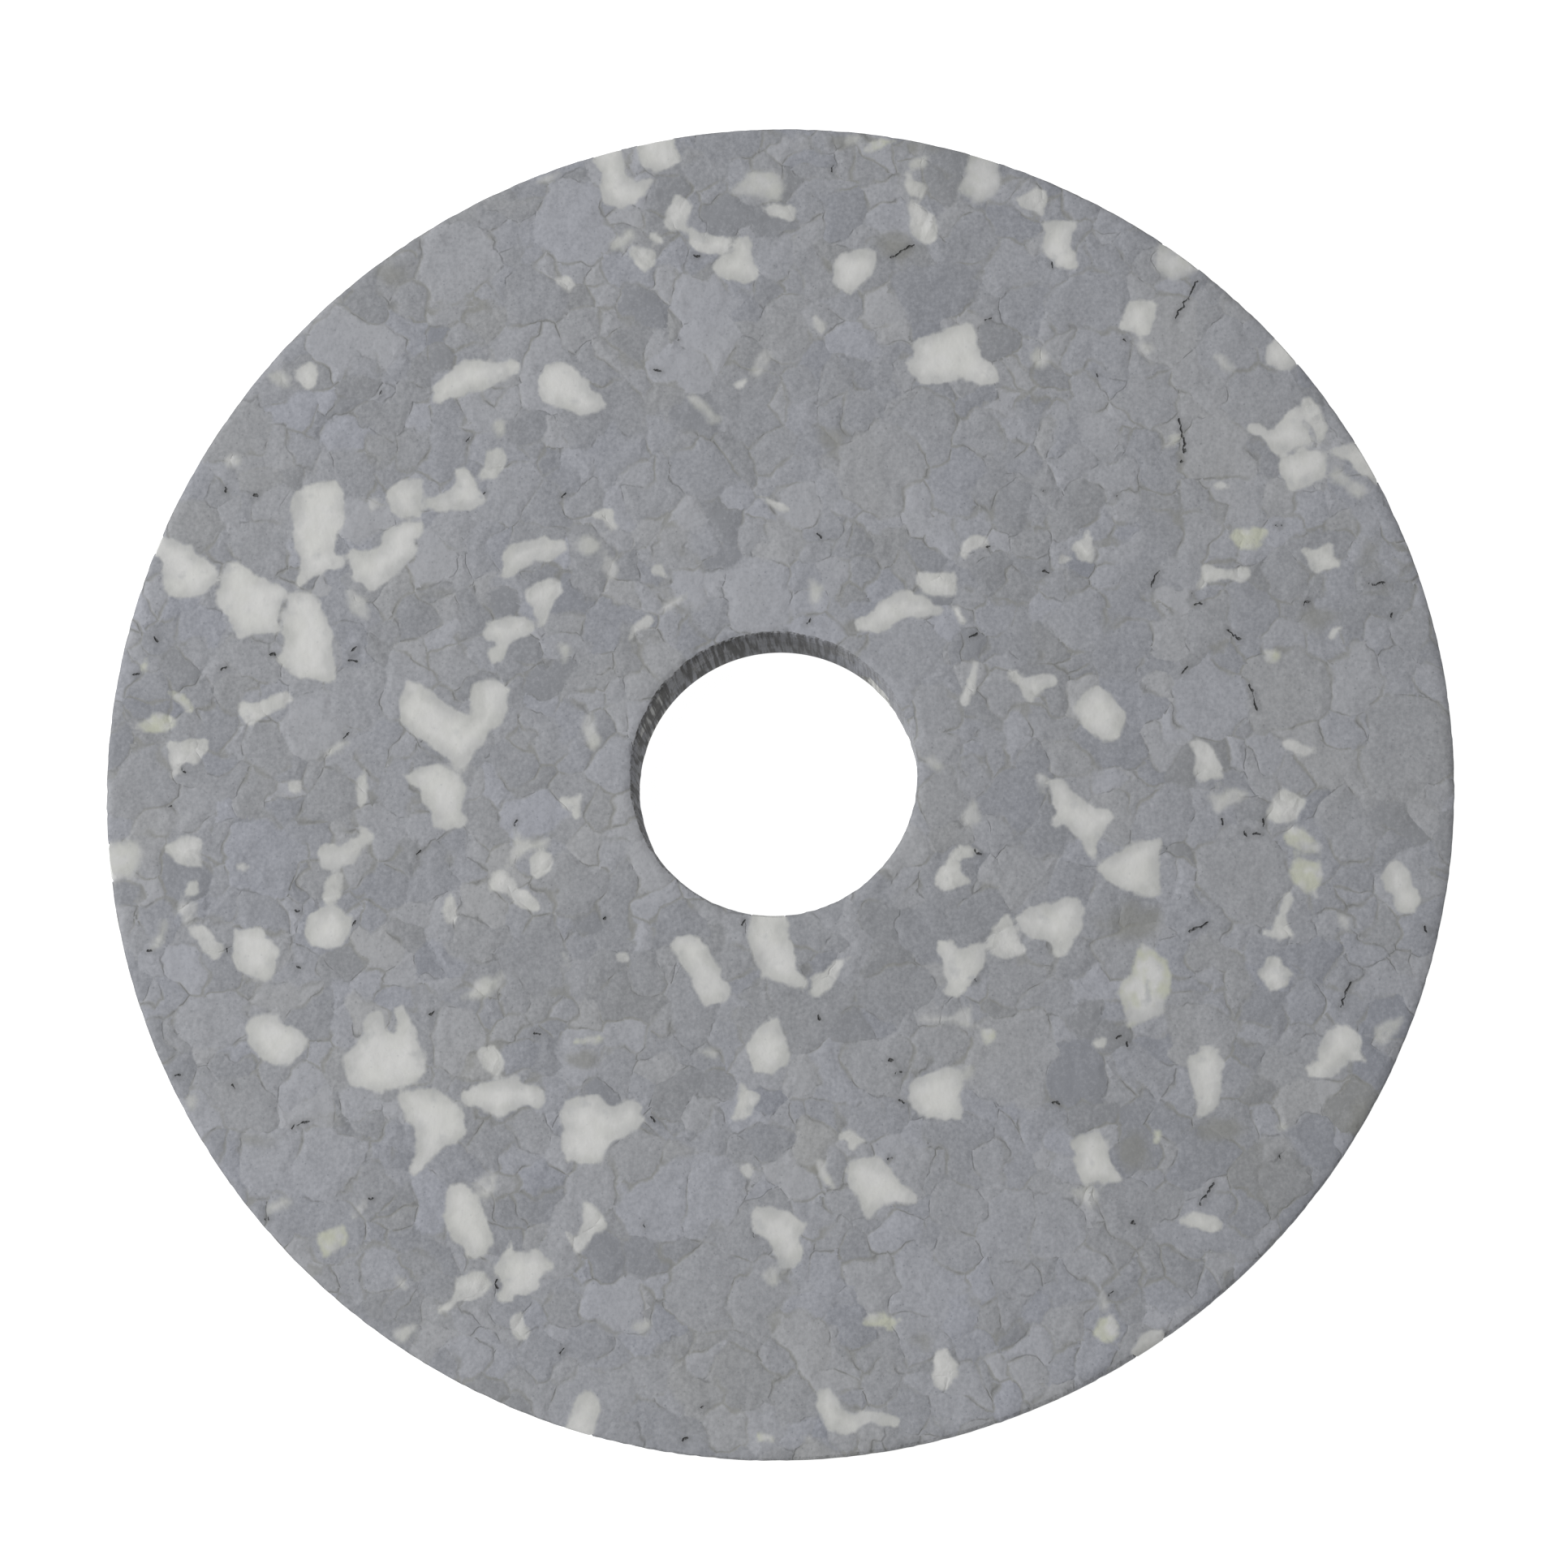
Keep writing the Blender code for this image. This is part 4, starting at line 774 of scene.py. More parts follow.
def separate_patches(sizes: WheelSizes) -> list[WhitePatch]:
    """Read the outlines of the separate white crumbs from the frame."""
    found = []
    for name in sorted(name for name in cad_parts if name.startswith("white_crumb")):
        low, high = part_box(name)
        corners = top_loop(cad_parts[name], sizes.thickness)
        reach = np.hypot(corners[:, 0], corners[:, 1])[:, None]
        past_rim = corners * (sizes.radius + 2.0) / reach
        past_bore = corners * (sizes.bore - 2.0) / reach
        corners = np.where(reach > sizes.radius - 0.08, past_rim, corners)
        corners = np.where(reach < sizes.bore + 0.08, past_bore, corners)
        loop = roughened(resampled(corners, 0.38), 0.17, 1.3, 3.0)
        depth = (high[2] - low[2]) / MM
        found.append(WhitePatch(loop, SOFT_NODES.get(name, Edge.CRISP), name, depth))
    return found


def small_patches() -> list[WhitePatch]:
    """Return the small white crumbs."""
    found = []
    for edge, outlines in SMALL_CRUMBS.items():
        for outline in outlines:
            loop = roughened(resampled(np.array(outline), 0.40), 0.12, 1.1, 5.0)
            found.append(WhitePatch(loop, edge))
    return found


def crack_paths(rng: np.random.Generator) -> list[np.ndarray]:
    """Return each crack as a jagged line of points about 0.3 mm apart."""
    ends = [(np.array(line[:2]), np.array(line[2:])) for line in CRACK_LINES]
    for middle in CRACK_POINTS:
        turn = rng.uniform(0, 2 * math.pi)
        half = np.array((math.cos(turn), math.sin(turn))) * rng.uniform(0.12, 0.42)
        ends.append((np.array(middle) - half, np.array(middle) + half))
    paths = []
    for start, end in ends:
        count = max(2, round(float(np.hypot(*(end - start))) / 0.35))
        line = start + (end - start) * np.linspace(0, 1, count + 1)[:, None]
        paths.append(line + rng.normal(0, 0.10, line.shape))
    return paths


def circle(radius: float, count: int) -> np.ndarray:
    """Return points around a circle."""
    turn = np.arange(count) * 2 * math.pi / count
    return np.stack([np.cos(turn), np.sin(turn)], 1) * radius


def spread(radius: float, bore: float, step: float, rng: np.random.Generator) -> np.ndarray:
    """Fill a ring with points about step mm apart, each moved a little at random."""
    rows = int(2 * radius / (step * 0.866)) + 1
    across = np.arange(-radius, radius, step)
    grid = np.array([(x + (row % 2) * step / 2, row * step * 0.866 - radius)
                     for row in range(rows) for x in across])
    grid = grid + rng.uniform(-0.22, 0.22, grid.shape) * step
    reach = np.hypot(grid[:, 0], grid[:, 1])
    return grid[(reach < radius - step * 0.6) & (reach > bore + step * 0.6)]


@dataclass
class RingNet:
    """A triangulated ring whose edges follow chosen lines."""

    rim: np.ndarray
    hole: np.ndarray
    loops: list[np.ndarray]
    paths: list[np.ndarray]
    points: np.ndarray
    verts: np.ndarray = field(init=False)
    tris: np.ndarray = field(init=False)

    def __post_init__(self) -> None:
        """Triangulate, and drop what lies outside the rim or inside the hole."""
        coords: list[np.ndarray] = []
        edges: list[tuple[int, int]] = []
        for loop in [self.rim, self.hole, *self.loops]:
            start = sum(len(part) for part in coords)
            coords.append(loop)
            count = len(loop)
            edges.extend((start + i, start + (i + 1) % count) for i in range(count))
        for path in self.paths:
            start = sum(len(part) for part in coords)
            coords.append(path)
            edges.extend((start + i, start + i + 1) for i in range(len(path) - 1))
        coords.append(self.points)
        flat = [Vector(point) for point in np.concatenate(coords).tolist()]
        made = delaunay_2d_cdt(flat, edges, [], 0, 1e-5, False)
        verts = np.array([vert[:] for vert in made[0]])
        tris = np.array([face for face in made[2] if len(face) == 3])
        reach = np.hypot(verts[:, 0], verts[:, 1])[tris]
        outer = float(np.hypot(*self.rim[0]))
        inner = float(np.hypot(*self.hole[0]))
        keep = (reach.max(1) < outer + 0.01) & (reach.min(1) > inner - 0.02)
        keep &= reach.max(1) > inner + 0.02
        tris = tris[keep]
        used, renumbered = np.unique(tris, return_inverse=True)
        self.verts, self.tris = verts[used], renumbered.reshape(-1, 3)

    def ring_at(self, radius: float) -> np.ndarray:
        """Return the vertices on a circle, in order of their angle."""
        reach = np.hypot(self.verts[:, 0], self.verts[:, 1])
        found = np.nonzero(np.abs(reach - radius) < 0.02)[0]
        turn = np.arctan2(self.verts[found, 1], self.verts[found, 0])
        return found[np.argsort(turn)]


def ring_points(loops: Iterable[np.ndarray], distance: float) -> np.ndarray:
    """Return points just inside and just outside each outline, to keep its edge sharp."""
    made = []
    for loop in loops:
        along = np.roll(loop, -1, axis=0) - np.roll(loop, 1, axis=0)
        normal = np.stack([along[:, 1], -along[:, 0]], 1)
        normal = normal / np.maximum(np.hypot(normal[:, 0], normal[:, 1])[:, None], 1e-6)
        for side in (-distance, distance):
            moved = loop + normal * side
            clear = np.abs(signed_distance(moved, loop)) > distance * 0.75
            made.append(moved[clear])
    return np.concatenate(made)


def thinned(points: np.ndarray, taken: np.ndarray, gap: float) -> np.ndarray:
    """Drop the points that lie nearer than a gap to a taken one, or to an earlier kept one."""
    cell = gap
    filled: dict[tuple[int, int], list[Point]] = {}

    def is_clear(x: float, y: float) -> bool:
        """Say whether nothing lies within the gap, and note the point if so."""
        column, row = math.floor(x / cell), math.floor(y / cell)
        for i in (column - 1, column, column + 1):
            for j in (row - 1, row, row + 1):
                for u, v in filled.get((i, j), ()):
                    if (u - x) ** 2 + (v - y) ** 2 < gap * gap:
                        return False
        filled.setdefault((column, row), []).append((x, y))
        return True

    for x, y in taken.tolist():
        filled.setdefault((math.floor(x / cell), math.floor(y / cell)), []).append((x, y))
    kept = [is_clear(x, y) for x, y in points.tolist()]
    return points[np.array(kept, dtype=bool)]


@dataclass
class CrumbSeeds:
    """Middles of the grey crumbs, whose sizes decide where their borders run."""

    sizes: WheelSizes
    rng: np.random.Generator
    centre: np.ndarray = field(init=False)
    weight: np.ndarray = field(init=False)
    look: np.ndarray = field(init=False)
    crumb: np.ndarray = field(init=False)
    in_front: np.ndarray = field(init=False)

    def __post_init__(self) -> None:
        """Place the noted crumbs, fill the front face around them, then fill the depth."""
        front = [(x, y, r, tone, tint) for x, y, r, tone, tint in NOTED_GREY]
        front += self.fill_front(front)
        deep = self.fill_depth()
        top = self.sizes.thickness
        places = [(x, y, top) for x, y, *_ in front] + [row[:3] for row in deep]
        radii = [row[2] for row in front] + [row[3] for row in deep]
        looks = [(tone, tint, 0.0) for *_, tone, tint in front] + [row[4:] for row in deep]
        self.centre = np.array(places)
        self.weight = np.array(radii) ** 2
        self.look = np.array(looks)
        self.in_front = np.arange(len(places)) < len(front)
        self.crumb = np.arange(len(places))
        self.join_some(len(NOTED_GREY), len(front))

    def fill_front(self, noted: list[tuple[float, ...]]) -> list[tuple[float, ...]]:
        """Drop crumbs of random size on the front face wherever there is room."""
        placed = [row[:3] for row in noted]
        made: list[tuple[float, ...]] = []
        for spacing in (0.98, 0.88, 0.78):
            for _ in range(9000):
                reach = math.sqrt(self.rng.uniform(0, 1)) * (self.sizes.radius + 2)
                turn = self.rng.uniform(0, 2 * math.pi)
                x, y = reach * math.cos(turn), reach * math.sin(turn)
                r = float(np.clip(self.rng.lognormal(math.log(1.9), 0.38), 1.0, 3.6))
                near = np.array(placed)
                room = np.hypot(near[:, 0] - x, near[:, 1] - y) - spacing * (near[:, 2] + r)
                if room.min() > 0:
                    placed.append((x, y, r))
                    made.append((x, y, r, *self.random_look()))
        return made

    def random_look(self) -> tuple[float, float]:
        """Return a random tone and tint."""
        tone = float(np.clip(self.rng.normal(0.04, 0.42), -1.0, 0.95))
        tint = float(np.clip(self.rng.normal(-0.32, 0.28), -1, 1))
        return tone, tint

    def fill_depth(self) -> list[tuple[float, ...]]:
        """Fill the body under its front face with crumbs, a few of them white."""
        step, made = 4.7, []
        span = np.arange(-self.sizes.radius - 2, self.sizes.radius + 2, step)
        for height in np.arange(self.sizes.thickness - 4.2, -2.5, -4.0):
            for x in span:
                for y in span:
                    place = np.array((x, y, height)) + self.rng.uniform(-1.9, 1.9, 3)
                    white = float(self.rng.uniform() < 0.085)
                    radius = self.rng.uniform(1.2, 3.4)
                    made.append((*place, radius, *self.random_look(), white))
        return made

    def join_some(self, start: int, stop: int) -> None:
        """Join some neighbours into crumbs of a less even shape."""
        for index in range(start + 1, stop):
            if self.rng.uniform() < 0.32:
                gap = self.centre[start:index, :2] - self.centre[index, :2]
                other = start + int((gap * gap).sum(1).argmin())
                if np.count_nonzero(self.crumb == self.crumb[other]) < 3:
                    self.crumb[index] = self.crumb[other]
                    self.look[index] = self.look[other]

    def warped(self, points: np.ndarray) -> np.ndarray:
        """Shift points by noise, so that the borders between crumbs run unevenly."""
        shift = np.empty_like(points)
        for index, (x, y, z) in enumerate(points.tolist()):
            wide = noise.noise_vector(Vector((x / 4.2, y / 4.2, z / 4.2 + 3.0)))
            fine = noise.noise_vector(Vector((x / 1.5, y / 1.5, z / 1.5 + 8.0)))
            shift[index] = (wide * 2.0 + fine * 0.75)[:]
        return points + shift

    def powers(self, points: np.ndarray, chosen: np.ndarray) -> np.ndarray:
        """Return each point's power to each chosen seed: the smallest one owns the point."""
        centre = self.centre[chosen]
        constant = (centre * centre).sum(1) - self.weight[chosen]
        return constant - 2.0 * points @ centre.T

    def pairs(self, middles: np.ndarray, chosen: np.ndarray) -> tuple[np.ndarray, np.ndarray]:
        """Find the crumb that owns each point, and the nearest other crumb.

        Args:
            middles: Warped points, as an (n, 3) array.
            chosen: The seeds that count there.

        Returns:
            Two arrays of seeds, the lower number first.
        """
        first, second = [], []
        for start in range(0, len(middles), 4000):
            power = self.powers(middles[start:start + 4000], chosen)
            owner = power.argmin(1)
            same = self.crumb[chosen][None, :] == self.crumb[chosen[owner]][:, None]
            power[same] = np.inf
            first.append(chosen[owner])
            second.append(chosen[power.argmin(1)])
        one, other = np.concatenate(first), np.concatenate(second)
        return np.minimum(one, other), np.maximum(one, other)

    def border(self, corners: np.ndarray, low: np.ndarray, high: np.ndarray) -> np.ndarray:
        """Return how far each warped corner is from the border, positive on the low seed's side."""
        a, b = self.centre[low], self.centre[high]
        power_a = (a * a).sum(1) - self.weight[low] - 2.0 * (corners * a).sum(1)
        power_b = (b * b).sum(1) - self.weight[high] - 2.0 * (corners * b).sum(1)
        span = np.maximum(np.sqrt(((a - b) ** 2).sum(1)), 1.0)
        return (power_b - power_a) / (2.0 * span)


def make_mesh(name: str, verts: np.ndarray, faces: list[Any],
              finish: bpy.types.Material) -> bpy.types.Object:
    """Make a smooth-shaded mesh object from points in mm."""
    mesh = bpy.data.meshes.new(name)
    mesh.from_pydata((verts * MM).tolist(), [], faces)
    mesh.materials.append(finish)
    mesh.shade_smooth()
    mesh.set_sharp_from_angle(angle=math.radians(32))
    item = bpy.data.objects.new(name, mesh)
    bpy.context.scene.collection.objects.link(item)
    return item


def store(item: bpy.types.Object, name: str, domain: str, numbers: np.ndarray) -> None:
    """Keep three numbers for each point, corner or face of a mesh."""
    made = item.data.attributes.new(name, "FLOAT_VECTOR", domain)
    made.data.foreach_set("vector", numbers.astype(np.float32).ravel())


@dataclass
class FrontFace:
    """The net of the front face, which the body and the white crumbs share."""

    sizes: WheelSizes
    rng: np.random.Generator
    step: float = 0.74
    rim_points: int = 720
    hole_points: int = 320
    patches: list[WhitePatch] = field(init=False)
    cracks: list[np.ndarray] = field(init=False)
    net: RingNet = field(init=False)
    height: np.ndarray = field(init=False)
    owner: np.ndarray = field(init=False)
    inside: np.ndarray = field(init=False)
    white: np.ndarray = field(init=False)
    crack: np.ndarray = field(init=False)

    def __post_init__(self) -> None:
        """Build the net, shape its edges and its relief, and sort its faces by white crumb."""
        self.patches = separate_patches(self.sizes) + small_patches()
        self.cracks = crack_paths(self.rng)
        rim = circle(self.rim_radius, self.rim_points)
        hole = circle(self.hole_radius, self.hole_points)
        loops = [patch.loop for patch in self.patches]
        fixed = np.concatenate([rim, hole, *loops, *self.cracks])
        beside = np.concatenate([ring_points(loops, 0.34),
                                 *[path + side for path in self.cracks for side in self.beside]])
        beside = self.within(beside)
        beside = thinned(beside, fixed, 0.24)
        grid = spread(self.rim_radius, self.hole_radius, self.step, self.rng)
        grid = thinned(grid, np.concatenate([fixed, beside]), 0.42)
        self.net = RingNet(rim, hole, loops, self.cracks, np.concatenate([beside, grid]))
        self.find_owners()
        self.white = self.white_field()
        self.crack = self.crack_field()
        self.shape()

    beside = (np.array((0.0, 0.3)), np.array((0.0, -0.3)), np.array((0.3, 0.0)), np.array((-0.3, 0.0)))

    @property
    def rim_radius(self) -> float:
        """Return the mean radius where the face meets the worn rim."""
        return self.sizes.radius - self.sizes.rim_wear

    @property
    def hole_radius(self) -> float:
        """Return the mean radius where the face meets the worn edge of the bore."""
        return self.sizes.bore + self.sizes.bore_wear

    def within(self, points: np.ndarray) -> np.ndarray:
        """Keep the points that lie clear of the rim and the bore."""
        reach = np.hypot(points[:, 0], points[:, 1])
        return points[(reach < self.rim_radius - 0.3) & (reach > self.hole_radius + 0.3)]

    def find_owners(self) -> None:
        """Note which separate crumb holds each face, and how far inside it each vertex is."""
        verts, tris = self.net.verts, self.net.tris
        middles = verts[tris].mean(1)
        self.owner = np.full(len(tris), -1)
        self.inside = np.zeros(len(verts))
        for index, patch in enumerate(self.patches):
            if not patch.is_piece:
                continue
            near = patch.near(middles, 0.1)
            held = near[signed_distance(middles[near], patch.loop) > 0]
            self.owner[held] = index
            corners = np.unique(tris[held])
            depth = signed_distance(verts[corners], patch.loop)
            self.inside[corners] = np.where(depth > 0.03, depth, 0.0)
        self.owner[self.inside[tris].max(1) <= 0] = -1

    def shape(self) -> None:
        """Give the face its slight relief, and wear its two edges unevenly."""
        verts = self.net.verts
        relief = np.array([noise.noise(Vector((x / 1.7, y / 1.7, 2.0))) * 0.5
                           + noise.noise(Vector((x / 6.0, y / 6.0, 7.0))) for x, y in verts.tolist()])
        reach = np.hypot(verts[:, 0], verts[:, 1])
        edge = np.minimum(self.rim_radius - reach, reach - self.hole_radius)
        self.height = self.sizes.thickness - 0.05 + relief * 0.045
        self.height -= np.exp(-np.maximum(edge, 0.0) / 0.35) * 0.05
        rings = [(radius, wear, self.net.ring_at(radius)) for radius, wear in
                 ((self.rim_radius, self.sizes.rim_wear), (self.hole_radius, self.sizes.bore_wear))]
        worn = np.clip((reach - self.rim_radius + 4.0) / 4.0, 0, 1) ** 2 * self.extra_wear(verts)
        verts *= ((reach - worn) / reach)[:, None]
        for radius, wear, ring in rings:
            for index in ring:
                x, y = verts[index]
                ragged = wobble(x, y, 1.5, 4.0) * 0.6 + wobble(x, y, 0.5, 5.0) * 0.7
                verts[index] *= (radius + ragged * wear * 0.8) / radius
                self.height[index] -= abs(ragged) * 0.12

    @staticmethod
    def extra_wear(verts: np.ndarray) -> np.ndarray:
        """Return how much more the rim is worn on one side, in mm."""
        turn = np.arctan2(verts[:, 1], verts[:, 0]) - math.radians(-62.0)
        return 0.36 * np.exp(-(turn / math.radians(28.0)) ** 2)

    def white_field(self) -> np.ndarray:
        """Return how far inside the white crumbs each vertex is, negative outside.

        Crumbs that nearly touch run together, because their distances blend.
        """
        verts, blend = self.net.verts, 0.32
        total = np.full(len(verts), math.exp(-3.0 / blend))
        for patch in self.patches:
            near = patch.near(verts, 2.0)
            total[near] += np.exp(signed_distance(verts[near], patch.loop) / blend)
        return blend * np.log(total)

    def white_look(self) -> np.ndarray:
        """Return, for each face, the look of the nearest white crumb's edge."""
        middles = self.net.verts[self.net.tris].mean(1)
        best = np.full(len(middles), -3.0)
        look = np.tile(EDGE_LOOK[Edge.CRISP], (len(middles), 1))
        for patch in self.patches:
            near = patch.near(middles, 1.6)
            depth = signed_distance(middles[near], patch.loop)
            closer = near[depth > best[near]]
            best[closer] = depth[depth > best[near]]
            look[closer] = EDGE_LOOK[patch.edge]
        return look

    def crack_field(self) -> np.ndarray:
        """Return how far each vertex is from the nearest crack, at most 2 mm."""
        verts = self.net.verts
        gap = np.full(len(verts), 2.0)
        for path in self.cracks:
            low, high = path.min(0) - 1.5, path.max(0) + 1.5
            near = np.nonzero(((verts > low) & (verts < high)).all(1))[0]
            loop = np.concatenate([path, path[::-1]])
            if len(near):
                gap[near] = np.minimum(gap[near], np.abs(signed_distance(verts[near], loop)))
        return gap

    def binder_field(self) -> np.ndarray:
        """Return how strongly the binder shows at each vertex, from 0 to 1."""
        x, y = self.net.verts.T
        shown = np.zeros(len(x))
        for cx, cy, half_x, half_y, strength in BINDER_PATCHES:
            away = ((x - cx) / half_x) ** 2 + ((y - cy) / half_y) ** 2
            shown = np.maximum(shown, strength * np.exp(-away * 0.9))
        return shown


@dataclass
class WheelBody:
    """The grey disc with its bore, worn edges and a pocket for each separate white crumb."""

    sizes: WheelSizes
    front: FrontFace
    seeds: CrumbSeeds
    wall_rows: int = 13
    back_step: float = 1.15

    def build(self) -> bpy.types.Object:
        """Make the body.

        Returns:
            The body, which stands for its CAD node.
        """
        net = self.front.net
        top = np.column_stack([net.verts, self.front.height - self.pocket_depth()])
        rim, hole = self.columns(top, outer=True), self.columns(top, outer=False)
        back = self.back_net(top, rim, hole)
        back_verts = np.column_stack([back.verts, self.back_height(back.verts)])
        self.parts = [top, back_verts]
        faces = [net.tris, back.tris[:, ::-1] + len(top)]
        ends = [self.match(back, top[ring]) + len(top) for ring in (rim, hole)]
        for ring, end, outer in ((rim, ends[0], True), (hole, ends[1], False)):
            faces.append(self.wall(top, ring, end, outer))
        counts = [len(part) for part in faces]
        verts, tris = np.concatenate(self.parts), np.concatenate(faces)
        body = make_mesh("foam_crumb_body", verts, tris.tolist(), GreyFoam().material())
        self.dress(body, verts, tris, counts)
        return body

    def pocket_depth(self) -> np.ndarray:
        """Return how far each vertex of the front face drops into a pocket."""
        inside, depth = self.front.inside, np.zeros(len(self.front.inside))
        for index, patch in enumerate(self.front.patches):
            if patch.is_piece:
                held = np.unique(self.front.net.tris[self.front.owner == index])
                depth[held] = pocket_profile(inside[held], patch.depth)
        return depth

    def columns(self, top: np.ndarray, outer: bool) -> np.ndarray:
        """Return the vertices of the face's outer or inner edge in order of angle."""
        net = self.front.net
        faces = np.sort(np.concatenate([net.tris[:, [0, 1]], net.tris[:, [1, 2]], net.tris[:, [2, 0]]]), 1)
        edges, uses = np.unique(faces, axis=0, return_counts=True)
        rim = np.unique(edges[uses == 1])
        reach = np.hypot(top[rim, 0], top[rim, 1])
        middle = (self.sizes.radius + self.sizes.bore) / 2
        rim = rim[(reach > middle) == outer]
        return rim[np.argsort(np.arctan2(top[rim, 1], top[rim, 0]))]

    def back_net(self, top: np.ndarray, rim: np.ndarray, hole: np.ndarray) -> RingNet:
        """Triangulate the back face, with its edges under the front face's edges."""
        outer, inner = self.sizes.radius - 0.15, self.sizes.bore + 0.15
        rings = []
        for ring, radius in ((rim, outer), (hole, inner)):
            flat = top[ring, :2]
            rings.append(flat * radius / np.hypot(flat[:, 0], flat[:, 1])[:, None])
        points = spread(outer, inner, self.back_step, self.seeds.rng)
        return RingNet(rings[0], rings[1], [], [], points)

    @staticmethod
    def match(back: RingNet, ring: np.ndarray) -> np.ndarray:
        """Return the back face's vertex under each vertex of a ring."""
        reach = np.hypot(back.verts[:, 0], back.verts[:, 1])
        outer = np.hypot(*ring[0, :2]) > 40.0
        edge = reach.max() if outer else reach.min()
        found = np.nonzero(np.abs(reach - edge) < 0.004)[0]
        turn = np.arctan2(back.verts[found, 1], back.verts[found, 0])
        return found[np.argsort(turn)]

    def back_height(self, flat: np.ndarray) -> np.ndarray:
        """Return the slight relief of the back face, which stays at or above zero."""
        return np.array([0.03 + 0.03 * wobble(x, y, 2.4, 12.0) for x, y in flat.tolist()])

    def wall(self, top: np.ndarray, ring: np.ndarray, end: np.ndarray, outer: bool) -> np.ndarray:
        """Make the outer wall or the wall of the bore, between the two faces.

        Args:
            top: The front face's vertices.
            ring: The vertices of its edge, in order.
            end: The back face's vertices under them, counted from the body's first vertex.
            outer: Whether this is the outer wall.

        Returns:
            The wall's triangles.
        """
        radius = self.sizes.radius if outer else self.sizes.bore
        towards = -1.0 if outer else 1.0
        turn = np.arctan2(top[ring, 1], top[ring, 0])
        rows = [ring]
        start = sum(len(part) for part in self.parts)
        wear = np.abs(np.hypot(top[ring, 0], top[ring, 1]) - radius)
        for row in range(self.wall_rows):
            share = (0.035, 0.09)[row] if row < 2 else row / self.wall_rows
            z = top[ring, 2] * (1.0 - share)
            dent = np.array([self.wall_dent(angle * radius, height, outer)
                             for angle, height in zip(turn, z)])
            if row < 2:
                z = top[ring, 2] - wear * (0.35, 1.2)[row]
                dent = np.maximum(dent, wear * (0.35, 0.12)[row])
            reach = radius + towards * dent
            self.parts.append(np.column_stack([np.cos(turn) * reach, np.sin(turn) * reach, z]))
            rows.append(np.arange(len(ring)) + start)
            start += len(ring)
        rows.append(end)
        quads = []
        for upper, lower in zip(rows, rows[1:]):
            a, b, c, d = upper, lower, np.roll(lower, -1), np.roll(upper, -1)
            if not outer:
                a, b, c, d = a, d, c, b
            quads += [np.stack([a, b, c], 1), np.stack([a, c, d], 1)]
        return np.concatenate(quads)

    @staticmethod
    def wall_dent(along: float, height: float, outer: bool) -> float:
        """Return how far a wall is dented at a place, in mm."""
        stripes = noise.noise(Vector((along / 0.9, height / 5.0, 20.0 + outer)))
        lumps = noise.noise(Vector((along / 3.2, height / 3.2, 30.0 + outer)))
        return max(0.0, 0.05 + stripes * 0.11 + lumps * 0.08)

    def dress(self, body: bpy.types.Object, verts: np.ndarray, tris: np.ndarray, counts: list[int]) -> None:
        """Store what the finish reads: the crumbs on each face, and the fields on its corners."""
        seeds, front = self.seeds, counts[0]
        warped = seeds.warped(verts)
        middles = warped[tris].mean(1)
        ahead, all_seeds = np.nonzero(seeds.in_front)[0], np.arange(len(seeds.weight))
        flat = middles[:front] * (1, 1, 0) + (0, 0, self.sizes.thickness)
        low_f, high_f = seeds.pairs(flat, ahead)
        low_r, high_r = seeds.pairs(middles[front:], all_seeds)
        low, high = np.concatenate([low_f, low_r]), np.concatenate([high_f, high_r])
        store(body, "crumb_a", "FACE", seeds.look[low])
        store(body, "crumb_b", "FACE", seeds.look[high])

        corners = warped[tris]
        corners[:front, :, 2] = self.sizes.thickness
        border = seeds.border(corners.reshape(-1, 3), np.repeat(low, 3), np.repeat(high, 3))
        chip, crack = np.full((len(tris), 3), -3.0), np.full((len(tris), 3), 2.0)
        look, patch = np.tile(EDGE_LOOK[Edge.CRISP], (len(tris), 1)), np.zeros((len(tris), 3, 3))
        chip[:front], look[:front] = self.front.white[tris[:front]], self.front.white_look()
        crack[:front] = self.front.crack[tris[:front]]
        patch[:front, :, 0] = self.front.binder_field()[tris[:front]]
        # The outer wall keeps a streaked darkening share of 0.34. The bore's share runs from 0.22 to 1,
        # highest at 140 degrees, where its wall faces away from the key light: painted shade.
        patch[front + counts[1]:, :, 1] = 0.34
        bore = verts[tris[front + counts[1] + counts[2]:]]
        turn = np.arctan2(bore[..., 1], bore[..., 0]) - math.radians(140.0)
        patch[front + counts[1] + counts[2]:, :, 1] = np.clip(0.5 + 0.6 * np.cos(turn), 0.22, 1.0)
        fields = np.stack([border, chip.ravel(), crack.ravel()], 1)
        store(body, "field", "CORNER", fields)
        store(body, "chip_look", "FACE", look)
        store(body, "patch", "CORNER", patch.reshape(-1, 3))


def pocket_profile(inside: np.ndarray, depth: float) -> np.ndarray:
    """Return a round pocket's depth at each distance inside its outline.

    Args:
        inside: Distances inside the outline, in mm.
        depth: The greatest depth, which a narrow pocket doesn't reach.

    Returns:
        The depths in mm.
    """
    reach = float(inside.max())
    share = np.clip(inside / max(0.85 * reach, 0.1), 0.0, 1.0)
    return min(depth, 1.3 * reach + 0.8) * np.sqrt(1.0 - (1.0 - share) ** 2)


